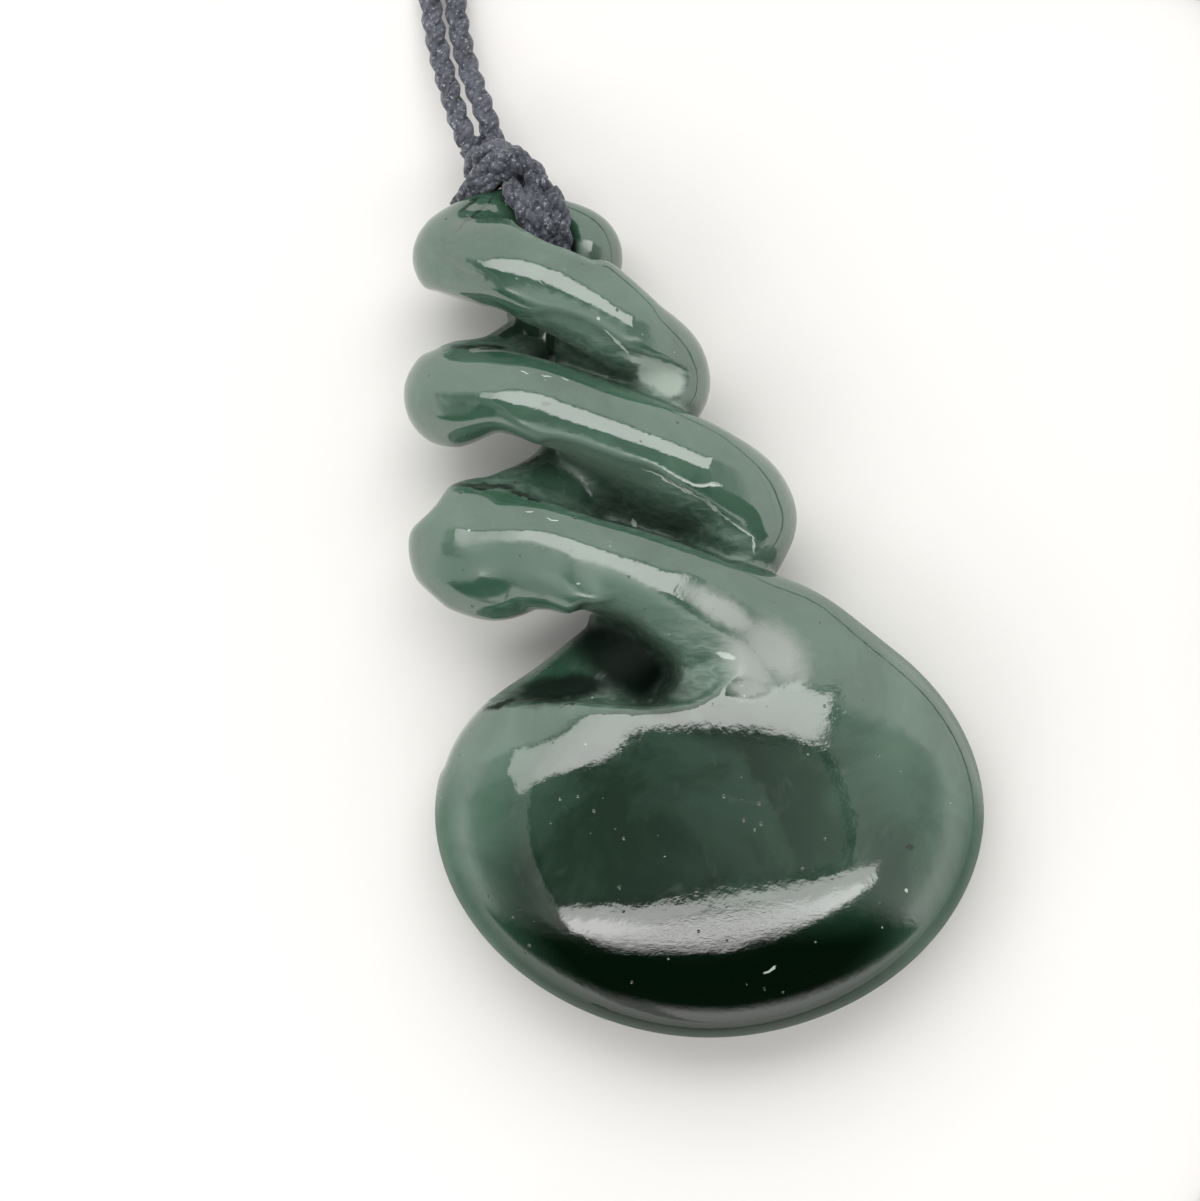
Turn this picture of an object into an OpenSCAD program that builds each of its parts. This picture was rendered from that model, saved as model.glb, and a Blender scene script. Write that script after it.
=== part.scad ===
/* [Stone] */
// Thickness of the twisted part, front to back
twist_t = 13; // [12.6:0.1:13.6]
// Width of the pillow-shaped body
body_w = 37.4; // [36:0.2:39]
// Length of the pillow-shaped body, with the part under the third strand
body_l = 30.6; // [29:0.2:32]
// Thickness of the pillow-shaped body
body_t = 13.1; // [12:0.1:13.6]
// How square the body's outline is, where 2 is an ellipse
body_square = 1.94; // [1.8:0.02:2.2]
// Width of the ground flat on the back, as a share of the body
back_flat = 0.5; // [0.3:0.05:0.6]
// Facets round a strand
strand_facets = 14; // [12:2:20]
// Facets round the body
body_facets = 44; // [32:4:64]

/* [Cord] */
// Diameter of the plaited cord
cord_d = 1.5; // [1.2:0.05:1.55]
// Facets round the cord
cord_facets = 7; // [6:1:8]

/* [Hidden] */

jade = [0.16, 0.3, 0.22];
navy = [0.17, 0.19, 0.25];
cord_r = cord_d / 2;

// The strand's route from the body round the twist and back into the body.
// Columns: x, y, level (-1 back, 1 front), half-width left and right of the way it runs, half-depth
STRAND = [
    [10.5, -10.0, -0.1, 6.4, 6.4, 4.4],
    [6.4, -4.4, 0.2, 4.4, 6.0, 3.6],
    [0.4, -3.4, 0.8, 2.4, 7.4, 2.8],
    [-3.9, -1.3, 1, 2.4, 7.2, 2.8],
    [-8.0, 2.2, 1, 2.6, 5.2, 2.9],
    [-11.2, 4.55, 0.9, 4.3, 3.9, 3.4],
    [-14.1, 4.7, 0.3, 5.1, 4.3, 4.3],
    [-8.4, 9.3, -1, 3.0, 3.6, 3.3],
    [-2.15, 15.5, 0, 2.9, 3.15, 3.6],
    [-4.7, 18.8, 1, 2.8, 3.1, 2.6],
    [-9.6, 21.0, 1, 2.2, 4.5, 2.8],
    [-12.9, 22.3, 0.95, 1.8, 4.4, 2.9],
    [-16.1, 24.2, 0.1, 2.9, 3.1, 3.6],
    [-13.2, 27.0, -0.2, 1.9, 1.9, 2.3],
    [-9.6, 26.6, -0.35, 1.8, 1.8, 1.9],
    [-7.3, 24.1, -0.5, 2.5, 2.4, 3.0],
    [-11.2, 18.6, -1, 2.4, 2.6, 3.0],
    [-16.2, 14.8, 0.1, 3.4, 3.4, 3.9],
    [-12.8, 13.6, 0.9, 4.2, 1.5, 2.9],
    [-9.2, 12.2, 1, 4.6, 1.9, 2.8],
    [0.2, 9.1, 1, 3.8, 3.0, 2.8],
    [3.5, 6.4, 0, 3.4, 3.4, 4.0],
    [0.6, 1.4, -1, 3.3, 3.3, 3.2],
    [-4.6, -3.4, -1, 3.3, 3.7, 3.3],
    [-7.4, -6.3, -0.8, 3.8, 4.3, 3.5],
    [-9.8, -9.6, -0.45, 5.2, 5.5, 4.0],
];
STRAND_STEPS = 3;
// First and last rows of the stretches that lie in front, which the grooves cut, and behind
FRONT_PARTS = [[0, 6], [8, 12], [17, 21]];
REAR_PARTS = [[6, 8], [12, 17], [21, 25]];

// The solid core that the strands wind round.
// Columns: x, y, half-width, half-depth
CORE = [
    [-7.6, 20.4, 1.9, 1.8],
    [-5.9, 15.6, 3.6, 2.8],
    [-3.9, 8.0, 4.6, 3.2],
    [-0.2, 2.0, 4.5, 3.4],
    [1.7, -5.2, 5.1, 3.6],
];

// A row of the route as a bead: x, y, height, half-width, half-depth. The wider side shifts the bead over
function bead_at(route, i) =
    let (
        row = route[i],
        way = route[min(i + 1, len(route) - 1)] - route[max(i - 1, 0)],
        ahead = [way[0], way[1]] / norm([way[0], way[1]]),
        shift = (row[4] - row[3]) / 2
    )
    [
        row[0] + shift * ahead[1],
        row[1] - shift * ahead[0],
        twist_t / 2 + max(-1, min(1, row[2])) * (twist_t / 2 - row[5]),
        (row[3] + row[4]) / 2,
        row[5],
    ];
function core_bead(row) = [row[0], row[1], twist_t / 2, row[2], row[3]];

// A smooth curve through every row of a table
function bent(a, b, c, d, t) =
    0.5 * (2 * b + (c - a) * t + (2 * a - 5 * b + 4 * c - d) * t * t + (3 * b - a - 3 * c + d) * t * t * t);
function row_at(rows, i) = rows[max(0, min(len(rows) - 1, i))];
function smooth(rows, steps) = [
    for (i = [0 : len(rows) - 2])
        for (s = [0 : steps - 1])
            bent(row_at(rows, i - 1), rows[i], rows[i + 1], row_at(rows, i + 2), s / steps),
    rows[len(rows) - 1],
];

module bead(p) {
    translate([p[0], p[1], p[2]])
        scale([p[3], p[3], p[4]])
            sphere(r = 1, $fn = strand_facets);
}

module chain(route) {
    for (i = [0 : len(route) - 2])
        hull() {
            bead(route[i]);
            bead(route[i + 1]);
        }
}

// Middle of the body seen from the front
BODY_MID = [1.1, -13.6];
// Columns: share of the body's outline, height as a share of the body's thickness
BODY_LAYERS = [
    [back_flat, 0],
    [0.72, 0.015],
    [0.86, 0.05],
    [0.94, 0.11],
    [0.985, 0.2],
    [1, 0.3],
    [1, 0.42],
    [0.99, 0.54],
    [0.97, 0.635],
    [0.94, 0.7],
    [0.89, 0.755],
    [0.8, 0.825],
    [0.64, 0.905],
    [0.45, 0.957],
    [0.2, 0.992],
    [0.06, 1],
];
LAYER_T = 0.01;
// The body's upper left shoulder is drawn in: its direction, its reach to either side and its depth as a share
SHOULDER = [143, 26, 0.058];

function shoulder(a) = 0.5 * (1 + cos(180 * max(-1, min(1, (a - SHOULDER[0]) / SHOULDER[1]))));
function oval(a, power) = [
    sign(cos(a)) * pow(abs(cos(a)), 2 / power) * body_w / 2,
    sign(sin(a)) * pow(abs(sin(a)), 2 / power) * body_l / 2,
];
function rim(p) = p * (1 - SHOULDER[2] * shoulder(atan2(p[1], p[0])));

module pillow() {
    outline = [for (i = [0 : body_facets - 1]) rim(oval(360 * (i + 0.5) / body_facets, body_square))];
    hull()
        for (layer = BODY_LAYERS)
            translate([BODY_MID[0], BODY_MID[1], layer[1] * (body_t - LAYER_T)])
                linear_extrude(LAYER_T)
                    scale([layer[0], layer[0]])
                        polygon(outline);
}

// Places measured on the photo, in its pixels
PIXELS_PER_MM = 14.7;
PHOTO_ORIGIN = [693.5, 613.5];
function seen(x, y) = [(x - PHOTO_ORIGIN[0]) / PIXELS_PER_MM, (PHOTO_ORIGIN[1] - y) / PIXELS_PER_MM];

// Grooves between the strands. Columns: rim x, y seen, rim height, far edge x, y seen, floor height.
// The wall comes down from the rim and the floor runs from its foot to the far edge
GROOVE_TOP = [
    [509, 209, 13, 511, 219, 8],
    [530, 208, 10, 530, 236, 5],
    [552, 216, 9.5, 552, 248, 4.5],
    [575, 232, 10, 572, 256, 5],
    [596, 252, 12, 598, 266, 8],
];
GROOVE_ONE = [
    [505, 329, 9, 470, 343, 5],
    [528, 319, 11, 492, 346, 5],
    [564, 318, 12.3, 532, 357, 5],
    [597, 332, 12.2, 581, 373, 5.5],
    [630, 353, 11.6, 612, 384, 6.5],
    [670, 366, 10.6, 645, 396, 7.5],
    [684, 380, 9.9, 677, 408, 8.5],
];
GROOVE_TWO = [
    [532, 455, 8, 485, 486, 5],
    [548, 441, 10.5, 523, 494, 5],
    [599, 454, 11.7, 568, 510, 5],
    [638, 466, 11.7, 599, 520, 5],
    [672, 484, 11.5, 638, 530, 5.5],
    [707, 504, 11, 666, 539, 6],
    [729, 523, 10.4, 698, 551, 7],
    [754, 547, 9.5, 731, 564, 8],
];
GROOVE_THREE = [
    [577, 607, 9.5, 520, 700, 4],
    [594, 603, 11, 561, 699, 3.5],
    [611, 601, 12.2, 580, 701, 3],
    [635, 608, 12.2, 602, 703, 3],
    [653, 620, 12.2, 623, 705, 3],
    [673, 640, 11.8, 643, 706, 3.2],
    [687, 661, 11.4, 664, 705, 3.6],
    [685, 687, 11, 678, 702, 4.5],
];
GROOVE_BEVEL = [
    [600, 570, 13.2, 594, 606, 11.4],
    [639, 590, 12.95, 620, 606, 11.9],
    [664, 604, 12.8, 646, 620, 11.8],
    [684, 614, 12.65, 664, 638, 11.4],
    [704, 626, 12.45, 678, 650, 11.1],
    [722, 638, 12.25, 682, 662, 10.8],
    [735, 652, 12.1, 684, 676, 10.6],
    [733, 668, 12.1, 682, 690, 10.5],
    [718, 684, 12.2, 684, 702, 10.8],
];
// Where the foot of a wall lies between the rim and the far edge
WALL_FOOT = 0.55;
ABOVE = 15;

// Solids through rings of points. The rings run so that the solid's faces look outwards
module loft(rings) {
    n = len(rings[0]);
    last = len(rings) - 1;
    walls = [
        for (i = [0 : last - 1])
            for (k = [0 : n - 1])
                let (a = i * n + k, b = i * n + (k + 1) % n)
                    each [[a, b, b + n], [a, b + n, a + n]]
    ];
    near_end = [for (k = [0 : n - 1]) n - 1 - k];
    far_end = [for (k = [0 : n - 1]) last * n + k];
    polyhedron(points = [for (ring = rings) each ring], faces = concat([near_end], walls, [far_end]));
}

module groove(rows, foot) {
    loft([
        for (row = rows)
            let (rim = seen(row[0], row[1]), edge = seen(row[3], row[4]), low = rim + (edge - rim) * foot)
                [
                    [rim[0], rim[1], row[2]],
                    [low[0], low[1], row[5]],
                    [edge[0], edge[1], row[5]],
                    [edge[0], edge[1], ABOVE],
                    [rim[0], rim[1], ABOVE],
                ]
    ]);
}

// The gaps between the lobes at the left, open from front to back, seen in the photo
GAP_ONE = [
    [430, 289], [466.5, 301], [483, 309], [492, 312], [504.6, 315], [511.5, 319], [500.5, 326.4],
    [491.4, 333], [484, 337.6], [473, 339.7], [457, 341], [446.6, 343.8], [438.3, 348], [430, 354.6],
];
GAP_TWO = [
    [404, 443.6], [442.4, 448.6], [457.4, 448.6], [471.5, 444], [483.9, 439], [493, 434], [504.6, 435.3],
    [517.9, 437.8], [529.5, 442.4], [541.9, 447.8], [529.5, 457.3], [517, 465.2], [504.6, 470],
    [489.7, 477.2], [476.4, 478.5], [463, 481], [452.4, 484.7], [446, 491], [441, 500],
    [433, 510], [422, 520], [404, 534],
];
GAP_THREE = [
    [420, 583], [430, 592.8], [448.2, 609], [476.3, 618.8], [493, 621.6], [508.6, 620.9], [522.6, 617.4],
    [535, 612.4], [550.7, 611], [567.5, 613.9], [578.7, 618], [589.3, 623.7], [563, 645.4], [542.3, 663],
    [528.2, 672.8], [514.2, 681.2], [500.2, 690.3], [486, 700.8], [472, 714.9], [459.5, 731.7],
    [451, 747], [442.6, 769.6], [420, 770],
];

module gaps() {
    for (gap = [GAP_ONE, GAP_TWO, GAP_THREE])
        translate([0, 0, -1])
            linear_extrude(ABOVE + 1)
                polygon([for (p = gap) seen(p[0], p[1])]);
}

module strands(route, parts) {
    for (part = parts)
        chain([for (i = [part[0] * STRAND_STEPS : part[1] * STRAND_STEPS]) bead_at(route, i)]);
}

module stone() {
    route = smooth(STRAND, STRAND_STEPS);
    color(jade)
        difference() {
            union() {
                difference() {
                    union() {
                        strands(route, FRONT_PARTS);
                        chain([for (row = CORE) core_bead(row)]);
                        pillow();
                    }
                    groove(GROOVE_TOP, 0.3);
                    groove(GROOVE_ONE, WALL_FOOT);
                    groove(GROOVE_TWO, WALL_FOOT);
                    groove(GROOVE_THREE, 0.3);
                    groove(GROOVE_BEVEL, 0.98);
                }
                strands(route, REAR_PARTS);
            }
            gaps();
            hole();
        }
}

// A tube of n sides whose rings lie round the points of a route
function unit(v) = v / norm(v);
function along(route, i) = unit(route[min(i + 1, len(route) - 1)] - route[max(i - 1, 0)]);
function ring_at(route, i, r, n) =
    let (
        ahead = along(route, i),
        side = unit(cross(ahead, abs(ahead[2]) < 0.9 ? [0, 0, 1] : [1, 0, 0])),
        up = cross(side, ahead)
    )
    [for (k = [0 : n - 1]) route[i] + r * (cos(360 * k / n) * side + sin(360 * k / n) * up)];

module tube(route, r, n) {
    loft([for (i = [0 : len(route) - 1]) ring_at(route, i, r, n)]);
}

// The top bar that the lashing goes round: its middle, and how far it drops for each millimetre to the right
BAR_MID = [-11.2, 26.9, 5.2];
BAR_DROP = [-0.17, -0.15];
// From the bar's middle to the middle of a turn, seen from the front and in depth
TURN_REACH = [2.75, 2.85];
// One turn of the lashing, from the knot over the bar, down into the hole and up behind the bar.
// Columns: angle round the bar (90 is the front and 180 the hole), x of the first turn, pitch of the turns
TURN = [
    [46, -12.6, 1.4],
    [70, -11.8, 1.3],
    [100, -11.1, 1.05],
    [140, -10.8, 0.95],
    [180, -10.7, 0.95],
    [220, -10.9, 0.95],
    [260, -11.4, 1.0],
    [294, -12.2, 1.05],
    [314, -12.7, 1.1],
];
TURNS = 3;
LASHING_R = cord_r * 0.96;
// Room round the lashing in the hole
HOLE_GAP = 0.22;

function turn_point(row, k) =
    let (x = row[1] + k * row[2], away = x - BAR_MID[0])
    [
        x,
        BAR_MID[1] + away * BAR_DROP[0] + TURN_REACH[0] * cos(row[0]),
        BAR_MID[2] + away * BAR_DROP[1] + TURN_REACH[1] * sin(row[0]),
    ];
function turn_route(k) = [for (row = TURN) turn_point(row, k)];

// The turns are pressed together, so they are built as beads joined in pairs
module lashing() {
    color(navy)
        for (k = [0 : TURNS - 1]) {
            route = turn_route(k);
            for (i = [0 : len(route) - 2])
                hull()
                    for (p = [route[i], route[i + 1]])
                        translate(p) rotate([0, 90, 0]) sphere(r = LASHING_R, $fn = cord_facets);
        }
}

// The slot under the bar, from the front to the back, that the turns lie in
module hole() {
    first = turn_route(0);
    last = turn_route(TURNS - 1);
    for (i = [0 : len(first) - 2])
        hull()
            for (p = [first[i], first[i + 1], last[i], last[i + 1]])
                translate(p) sphere(r = LASHING_R + HOLE_GAP, $fn = 10);
}

// The knot above the bar: its middle, its half sizes and its tilt seen from the front
KNOT_MID = [-13.1, 30.75, 5.2];
KNOT_HALF = [2.6, 1.25, 2.0];
KNOT_TILT = -8;

module head_knot() {
    color(navy)
        translate(KNOT_MID)
            rotate([0, 0, KNOT_TILT])
                hull()
                    for (x = [-1, 0, 1])
                        translate([x * KNOT_HALF[0] * 0.55, 0, 0])
                            scale([KNOT_HALF[0] * 0.45, KNOT_HALF[1], KNOT_HALF[2] * (1 - 0.15 * abs(x))])
                                sphere(r = 1, $fn = 10);
}

// Height of the middle of the cord where it lies on the surface
LAID = cord_r + 0.05;
// The two runs of the neck cord from the head knot to the end knot. Columns: x, y, height above LAID
LEFT_RUN = [
    [-15.4, 32.1, 4.4],
    [-16.1, 34.0, 3.7],
    [-16.9, 36.6, 2.6],
    [-17.6, 39.4, 1.5],
    [-18.0, 42.0, 0.6],
    [-18.1, 44.6, 0.1],
    [-17.0, 47.0, 0],
    [-14.0, 48.4, 0],
    [-8.0, 48.6, 0],
    [2.0, 48.2, 0],
    [13.0, 48.7, 0],
    [24.0, 48.2, 0],
    [33.8, 47.2, 0],
    [39.4, 43.6, 0],
    [40.2, 35.0, 0],
    [40.6, 24.0, 0],
    [39.9, 12.0, 0],
    [40.4, 0.0, 0],
    [40.7, -12.0, 0],
    [40.1, -24.0, 0],
    [39.8, -36.5, 0],
    [37.0, -43.6, 0],
    [29.5, -46.0, 0],
    [16.0, -45.9, 0],
    [4.0, -45.4, 0],
    [-6.0, -45.6, 0],
    [-11.0, -45.6, 0],
];
RIGHT_RUN = [
    [-13.7, 32.6, 4.3],
    [-14.3, 34.4, 3.6],
    [-15.2, 36.8, 2.6],
    [-15.9, 39.4, 1.5],
    [-16.3, 42.0, 0.6],
    [-16.1, 44.2, 0.1],
    [-14.4, 45.8, 0],
    [-11.0, 46.4, 0],
    [-5.0, 46.2, 0],
    [4.0, 46.4, 0],
    [14.0, 46.1, 0],
    [24.0, 46.0, 0],
    [32.6, 45.0, 0],
    [37.0, 41.4, 0],
    [37.8, 33.0, 0],
    [38.2, 23.0, 0],
    [37.9, 12.0, 0],
    [37.8, 0.0, 0],
    [38.5, -12.0, 0],
    [38.1, -24.0, 0],
    [37.6, -35.5, 0],
    [35.2, -41.6, 0],
    [29.0, -43.9, 0],
    [16.0, -43.6, 0],
    [4.0, -43.3, 0],
    [-6.0, -43.4, 0],
    [-11.0, -43.6, 0],
];

function laid(run) = [for (p = run) [p[0], p[1], p[2] + LAID]];

module cord_left() {
    color(navy) tube(laid(LEFT_RUN), cord_r, cord_facets);
}

module cord_right() {
    color(navy) tube(laid(RIGHT_RUN), cord_r, cord_facets);
}

// The plain knot that closes the neck cord
END_KNOT_MID = [-13.2, -44.6, 1.85];
END_KNOT_HALF = [2.0, 1.9, 1.8];

module end_knot() {
    color(navy)
        translate(END_KNOT_MID)
            scale(END_KNOT_HALF)
                sphere(r = 1, $fn = 10);
}

stone();
lashing();
head_knot();
cord_left();
cord_right();
end_knot();
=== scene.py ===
"""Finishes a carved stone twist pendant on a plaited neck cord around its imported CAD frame."""

import math

import bpy
import numpy as np
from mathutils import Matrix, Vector


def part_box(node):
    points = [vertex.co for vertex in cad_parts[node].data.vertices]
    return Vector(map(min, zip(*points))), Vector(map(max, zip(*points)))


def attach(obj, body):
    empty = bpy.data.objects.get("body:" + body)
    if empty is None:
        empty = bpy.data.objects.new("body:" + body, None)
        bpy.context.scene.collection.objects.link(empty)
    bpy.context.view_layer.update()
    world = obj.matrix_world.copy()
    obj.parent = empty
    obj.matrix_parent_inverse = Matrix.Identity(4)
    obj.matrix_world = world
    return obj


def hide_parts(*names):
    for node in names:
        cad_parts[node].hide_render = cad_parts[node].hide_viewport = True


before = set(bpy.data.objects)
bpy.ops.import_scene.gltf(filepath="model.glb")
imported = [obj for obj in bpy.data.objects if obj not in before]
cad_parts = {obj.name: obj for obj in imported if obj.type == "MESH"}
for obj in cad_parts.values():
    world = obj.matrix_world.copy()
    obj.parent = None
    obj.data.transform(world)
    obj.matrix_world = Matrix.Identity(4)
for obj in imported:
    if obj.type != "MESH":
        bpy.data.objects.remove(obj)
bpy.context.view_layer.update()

bl_info = {
    "name": "Carved twist pendant",
    "version": (1, 0, 0),
    "blender": (4, 5, 0),
    "location": "3D View > Sidebar > Pendant",
    "description": "Builds a carved stone twist pendant, its plaited cord and a plain studio",
    "category": "Add Mesh",
}

MM = 0.001

# The tables and sizes of the pendant are in millimetres, seen from the front.

# The strand from the body round the twist and back. Columns: x, y, level (-1 back, 1 front), half-width
# left and right of the way it runs, half-depth
STRAND = (
    (10.5, -10.0, -0.1, 6.4, 6.4, 4.4),
    (6.4, -4.4, 0.2, 4.4, 6.0, 3.6),
    (0.4, -3.4, 0.8, 2.4, 7.4, 2.8),
    (-3.9, -1.3, 1, 2.4, 7.2, 2.8),
    (-8.0, 2.2, 1, 2.6, 5.2, 2.9),
    (-11.2, 4.55, 0.9, 4.3, 3.9, 3.4),
    (-14.1, 4.7, 0.3, 5.1, 4.3, 4.3),
    (-8.4, 9.3, -1, 3.0, 3.6, 3.3),
    (-2.15, 15.5, 0, 2.9, 3.15, 3.6),
    (-4.7, 18.8, 1, 2.8, 3.1, 2.6),
    (-9.6, 21.0, 1, 2.2, 4.5, 2.8),
    (-12.9, 22.3, 0.95, 1.8, 4.4, 2.9),
    (-16.1, 24.2, 0.1, 2.9, 3.1, 3.6),
    (-13.2, 27.0, -0.2, 1.9, 1.9, 2.3),
    (-9.6, 26.6, -0.35, 1.8, 1.8, 1.9),
    (-7.3, 24.1, -0.5, 2.5, 2.4, 3.0),
    (-11.2, 18.6, -1, 2.4, 2.6, 3.0),
    (-16.2, 14.8, 0.1, 3.4, 3.4, 3.9),
    (-12.8, 13.6, 0.9, 4.2, 1.5, 2.9),
    (-9.2, 12.2, 1, 4.6, 1.9, 2.8),
    (0.2, 9.1, 1, 3.8, 3.0, 2.8),
    (3.5, 6.4, 0, 3.4, 3.4, 4.0),
    (0.6, 1.4, -1, 3.3, 3.3, 3.2),
    (-4.6, -3.4, -1, 3.3, 3.7, 3.3),
    (-7.4, -6.3, -0.8, 3.8, 4.3, 3.5),
    (-9.8, -9.6, -0.45, 5.2, 5.5, 4.0),
)
# First and last rows of the stretch that flows into the body and of those that lie in front and behind
FLOW_PART = (0, 6)
FRONT_PARTS = ((8, 12), (17, 21))
REAR_PARTS = ((6, 8), (12, 17), (21, 25))
STRAND_STEPS = 10

# The solid core that the strands wind round. Columns: x, y, half-width, half-depth
CORE = (
    (-7.6, 20.4, 1.9, 1.8),
    (-5.9, 15.6, 3.6, 2.8),
    (-3.9, 8.0, 4.6, 3.2),
    (-0.2, 2.0, 4.5, 3.4),
    (1.7, -5.2, 5.1, 3.6),
)
CORE_STEPS = 6

# Profile of the body from the middle of its front to the middle of its back. Columns: share of the
# outline, share of the thickness
PROFILE = (
    (0.0, 1.0), (0.2, 0.992), (0.45, 0.957), (0.64, 0.905), (0.8, 0.825), (0.89, 0.755), (0.94, 0.7),
    (0.97, 0.635), (0.99, 0.54), (1.0, 0.42), (1.0, 0.3), (0.985, 0.2), (0.94, 0.11), (0.86, 0.05),
    (0.72, 0.015), (0.5, 0.0), (0.0, 0.0),
)
BODY_MID = (1.1, -13.6)
PROFILE_STEPS = 4
# The drawing that the profile is measured in: the outline's radius, the drawing's limits and its step
PROFILE_RADIUS = 17.0
PROFILE_REACH = 27.0
PROFILE_FOOT = -3.0
PROFILE_TOP = 18.0
PROFILE_STEP = 0.15
# The body's upper left is pulled in: its direction and its spread, in degrees, and how far
SHOULDER_TURN = 143
SHOULDER_SPREAD = 26
SHOULDER_IN = 0.058

# Grooves and flats carved into the stone. Rim columns: x, y, height, how far its wall is stretched out. The
# edge closes the outline, and drop says how deep the floor lies at each distance from the rim
GROOVE_TOP = dict(
    rim=(
        (-12.55, 27.45, 13.2, 1), (-11.8, 27.65, 10.5, 1), (-10.1, 27.31, 9, 1), (-8.74, 26.43, 9, 1),
        (-7.38, 25.41, 10, 1), (-6.56, 24.46, 12, 1),
    ),
    edge=(
        (-6.29, 23.5), (-7.52, 24.05), (-8.74, 24.59), (-9.63, 24.86), (-10.78, 25.41), (-11.94, 26.16),
        (-12.55, 26.9),
    ),
    drop=((0, 0), (1, 5), (9, 8)),
)
GROOVE_ONE = dict(
    rim=(
        (-12.82, 19.29, 9, 0.6), (-12.21, 19.83, 9.5, 0.6), (-11.26, 20.03, 11, 0.6),
        (-10.1, 20.24, 12, 0.8), (-8.81, 20.1, 12.3, 1), (-7.59, 19.69, 12.3, 1.2),
        (-6.56, 19.15, 12.2, 1.3), (-5.54, 18.47, 12, 1.3), (-4.32, 17.72, 11.6, 1.2),
        (-2.96, 17.18, 11, 1), (-1.46, 16.7, 10.4, 0.9), (-0.65, 16.16, 9.9, 0.9),
        (-0.71, 15.34, 9.5, 0.9), (-1.33, 14.59, 9.5, 0.9),
    ),
    edge=(
        (-1.12, 13.95), (-3.34, 14.84), (-5.54, 15.65), (-7.62, 16.38), (-9.39, 16.97), (-11.01, 17.45),
        (-12.21, 17.86), (-13.67, 18.2), (-15.2, 18.4), (-16.22, 18.13), (-16.9, 17.79), (-17.24, 18.61),
        (-15.2, 19.63),
    ),
    drop=((0, 0), (0.6, 0.4), (1.2, 1.6), (1.8, 3.4), (2.4, 5.2), (3.2, 6.8), (9, 8)),
)
GROOVE_TWO = dict(
    rim=(
        (-11.8, 9.76, 7, 0.5), (-10.78, 10.99, 8, 0.5), (-9.9, 11.73, 10.5, 0.5),
        (-8.2, 11.46, 11.4, 0.55), (-6.43, 10.85, 11.7, 0.65), (-5, 10.33, 11.7, 0.8),
        (-3.78, 10.03, 11.7, 1), (-2.62, 9.59, 11.6, 1.15), (-1.46, 8.81, 11.5, 1.2),
        (-0.24, 8.13, 11.3, 1.2), (0.92, 7.45, 11, 1.1), (1.8, 6.71, 10.7, 1), (2.41, 6.16, 10.4, 0.9),
        (3.44, 5.48, 9.9, 0.8), (4.18, 4.66, 9.5, 0.7), (4.12, 4.05, 9.3, 0.7), (3.5, 3.5, 9.3, 0.7),
    ),
    edge=(
        (2.55, 3.39), (0.31, 4.29), (-1.87, 5.1), (-3.78, 5.68), (-6.43, 6.36), (-8.54, 7.04),
        (-10.03, 7.59), (-11.6, 8.13), (-12.96, 8.47), (-14.18, 8.67), (-15.68, 8.74), (-16.77, 8.47),
        (-17.24, 9.08), (-14.52, 9.76),
    ),
    drop=((0, 0), (0.6, 0.9), (1.2, 2.4), (1.8, 4.0), (2.6, 5.6), (3.4, 6.6), (4.5, 7.2), (9, 7.5)),
)
# The lip between the third groove and the body
LIP = (
    (-2.01, -6.22), (-3.44, -6.29), (-4.8, -6.22), (-6.22, -6.09), (-7.86, -5.95), (-9.01, -5.82),
    (-10.51, -5.68), (-11.73, -5.95), (-13.23, -6.02),
)
GROOVE_THREE = dict(
    rim=(
        (-8.27, -0.31, 8.5, 0.5), (-7.93, 0.37, 9.5, 0.5), (-7.52, 0.78, 10.5, 0.6),
        (-6.77, 0.65, 11, 0.7), (-5.61, 0.78, 12.2, 0.8), (-3.98, 0.31, 12.2, 0.9),
        (-2.89, -0.37, 12.2, 0.9), (-2.28, -1.12, 12, 0.9), (-1.46, -1.8, 11.8, 0.9),
        (-0.78, -2.35, 11.6, 0.9), (-0.44, -3.16, 11.4, 0.9), (-0.37, -4.12, 11, 0.9),
        (-0.65, -5.2, 11, 0.9), (-1.19, -5.88, 11, 0.9),
    ),
    edge=(*LIP, (-14.39, -5.34), (-9.08, -1.8)),
    drop=((0, 0), (0.4, 0.8), (0.8, 2.2), (1.4, 5.0), (2.0, 6.8), (3.0, 8.2), (4.5, 8.8), (9, 9.2)),
)
GROOVE_BEVEL = dict(
    rim=(
        (-7.04, 0.92, 13.6, 1), (-7.04, 2.82, 13.6, 1), (-6.36, 2.89, 13.4, 1), (-5.61, 2.62, 13.2, 1),
        (-3.71, 1.6, 12.95, 1), (-2.01, 0.65, 12.8, 1), (-0.65, -0.03, 12.65, 1),
        (0.71, -0.85, 12.45, 1.2), (1.94, -1.67, 12.25, 1.3), (2.82, -2.48, 12.1, 1.3),
        (2.76, -3.44, 12.1, 1.2), (2.28, -4.32, 12.1, 1),
    ),
    edge=(
        (1.46, -4.93), (0.44, -5.61), (-0.65, -6.02), (-1.6, -5.88), (-2.28, -3.16), (-4.32, -0.44),
        (-6.36, 0.1),
    ),
    drop=((0, 0), (0.3, 0.1), (1.2, 0.65), (3.0, 1.7), (4.5, 2.8), (9, 9.5)),
)
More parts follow.
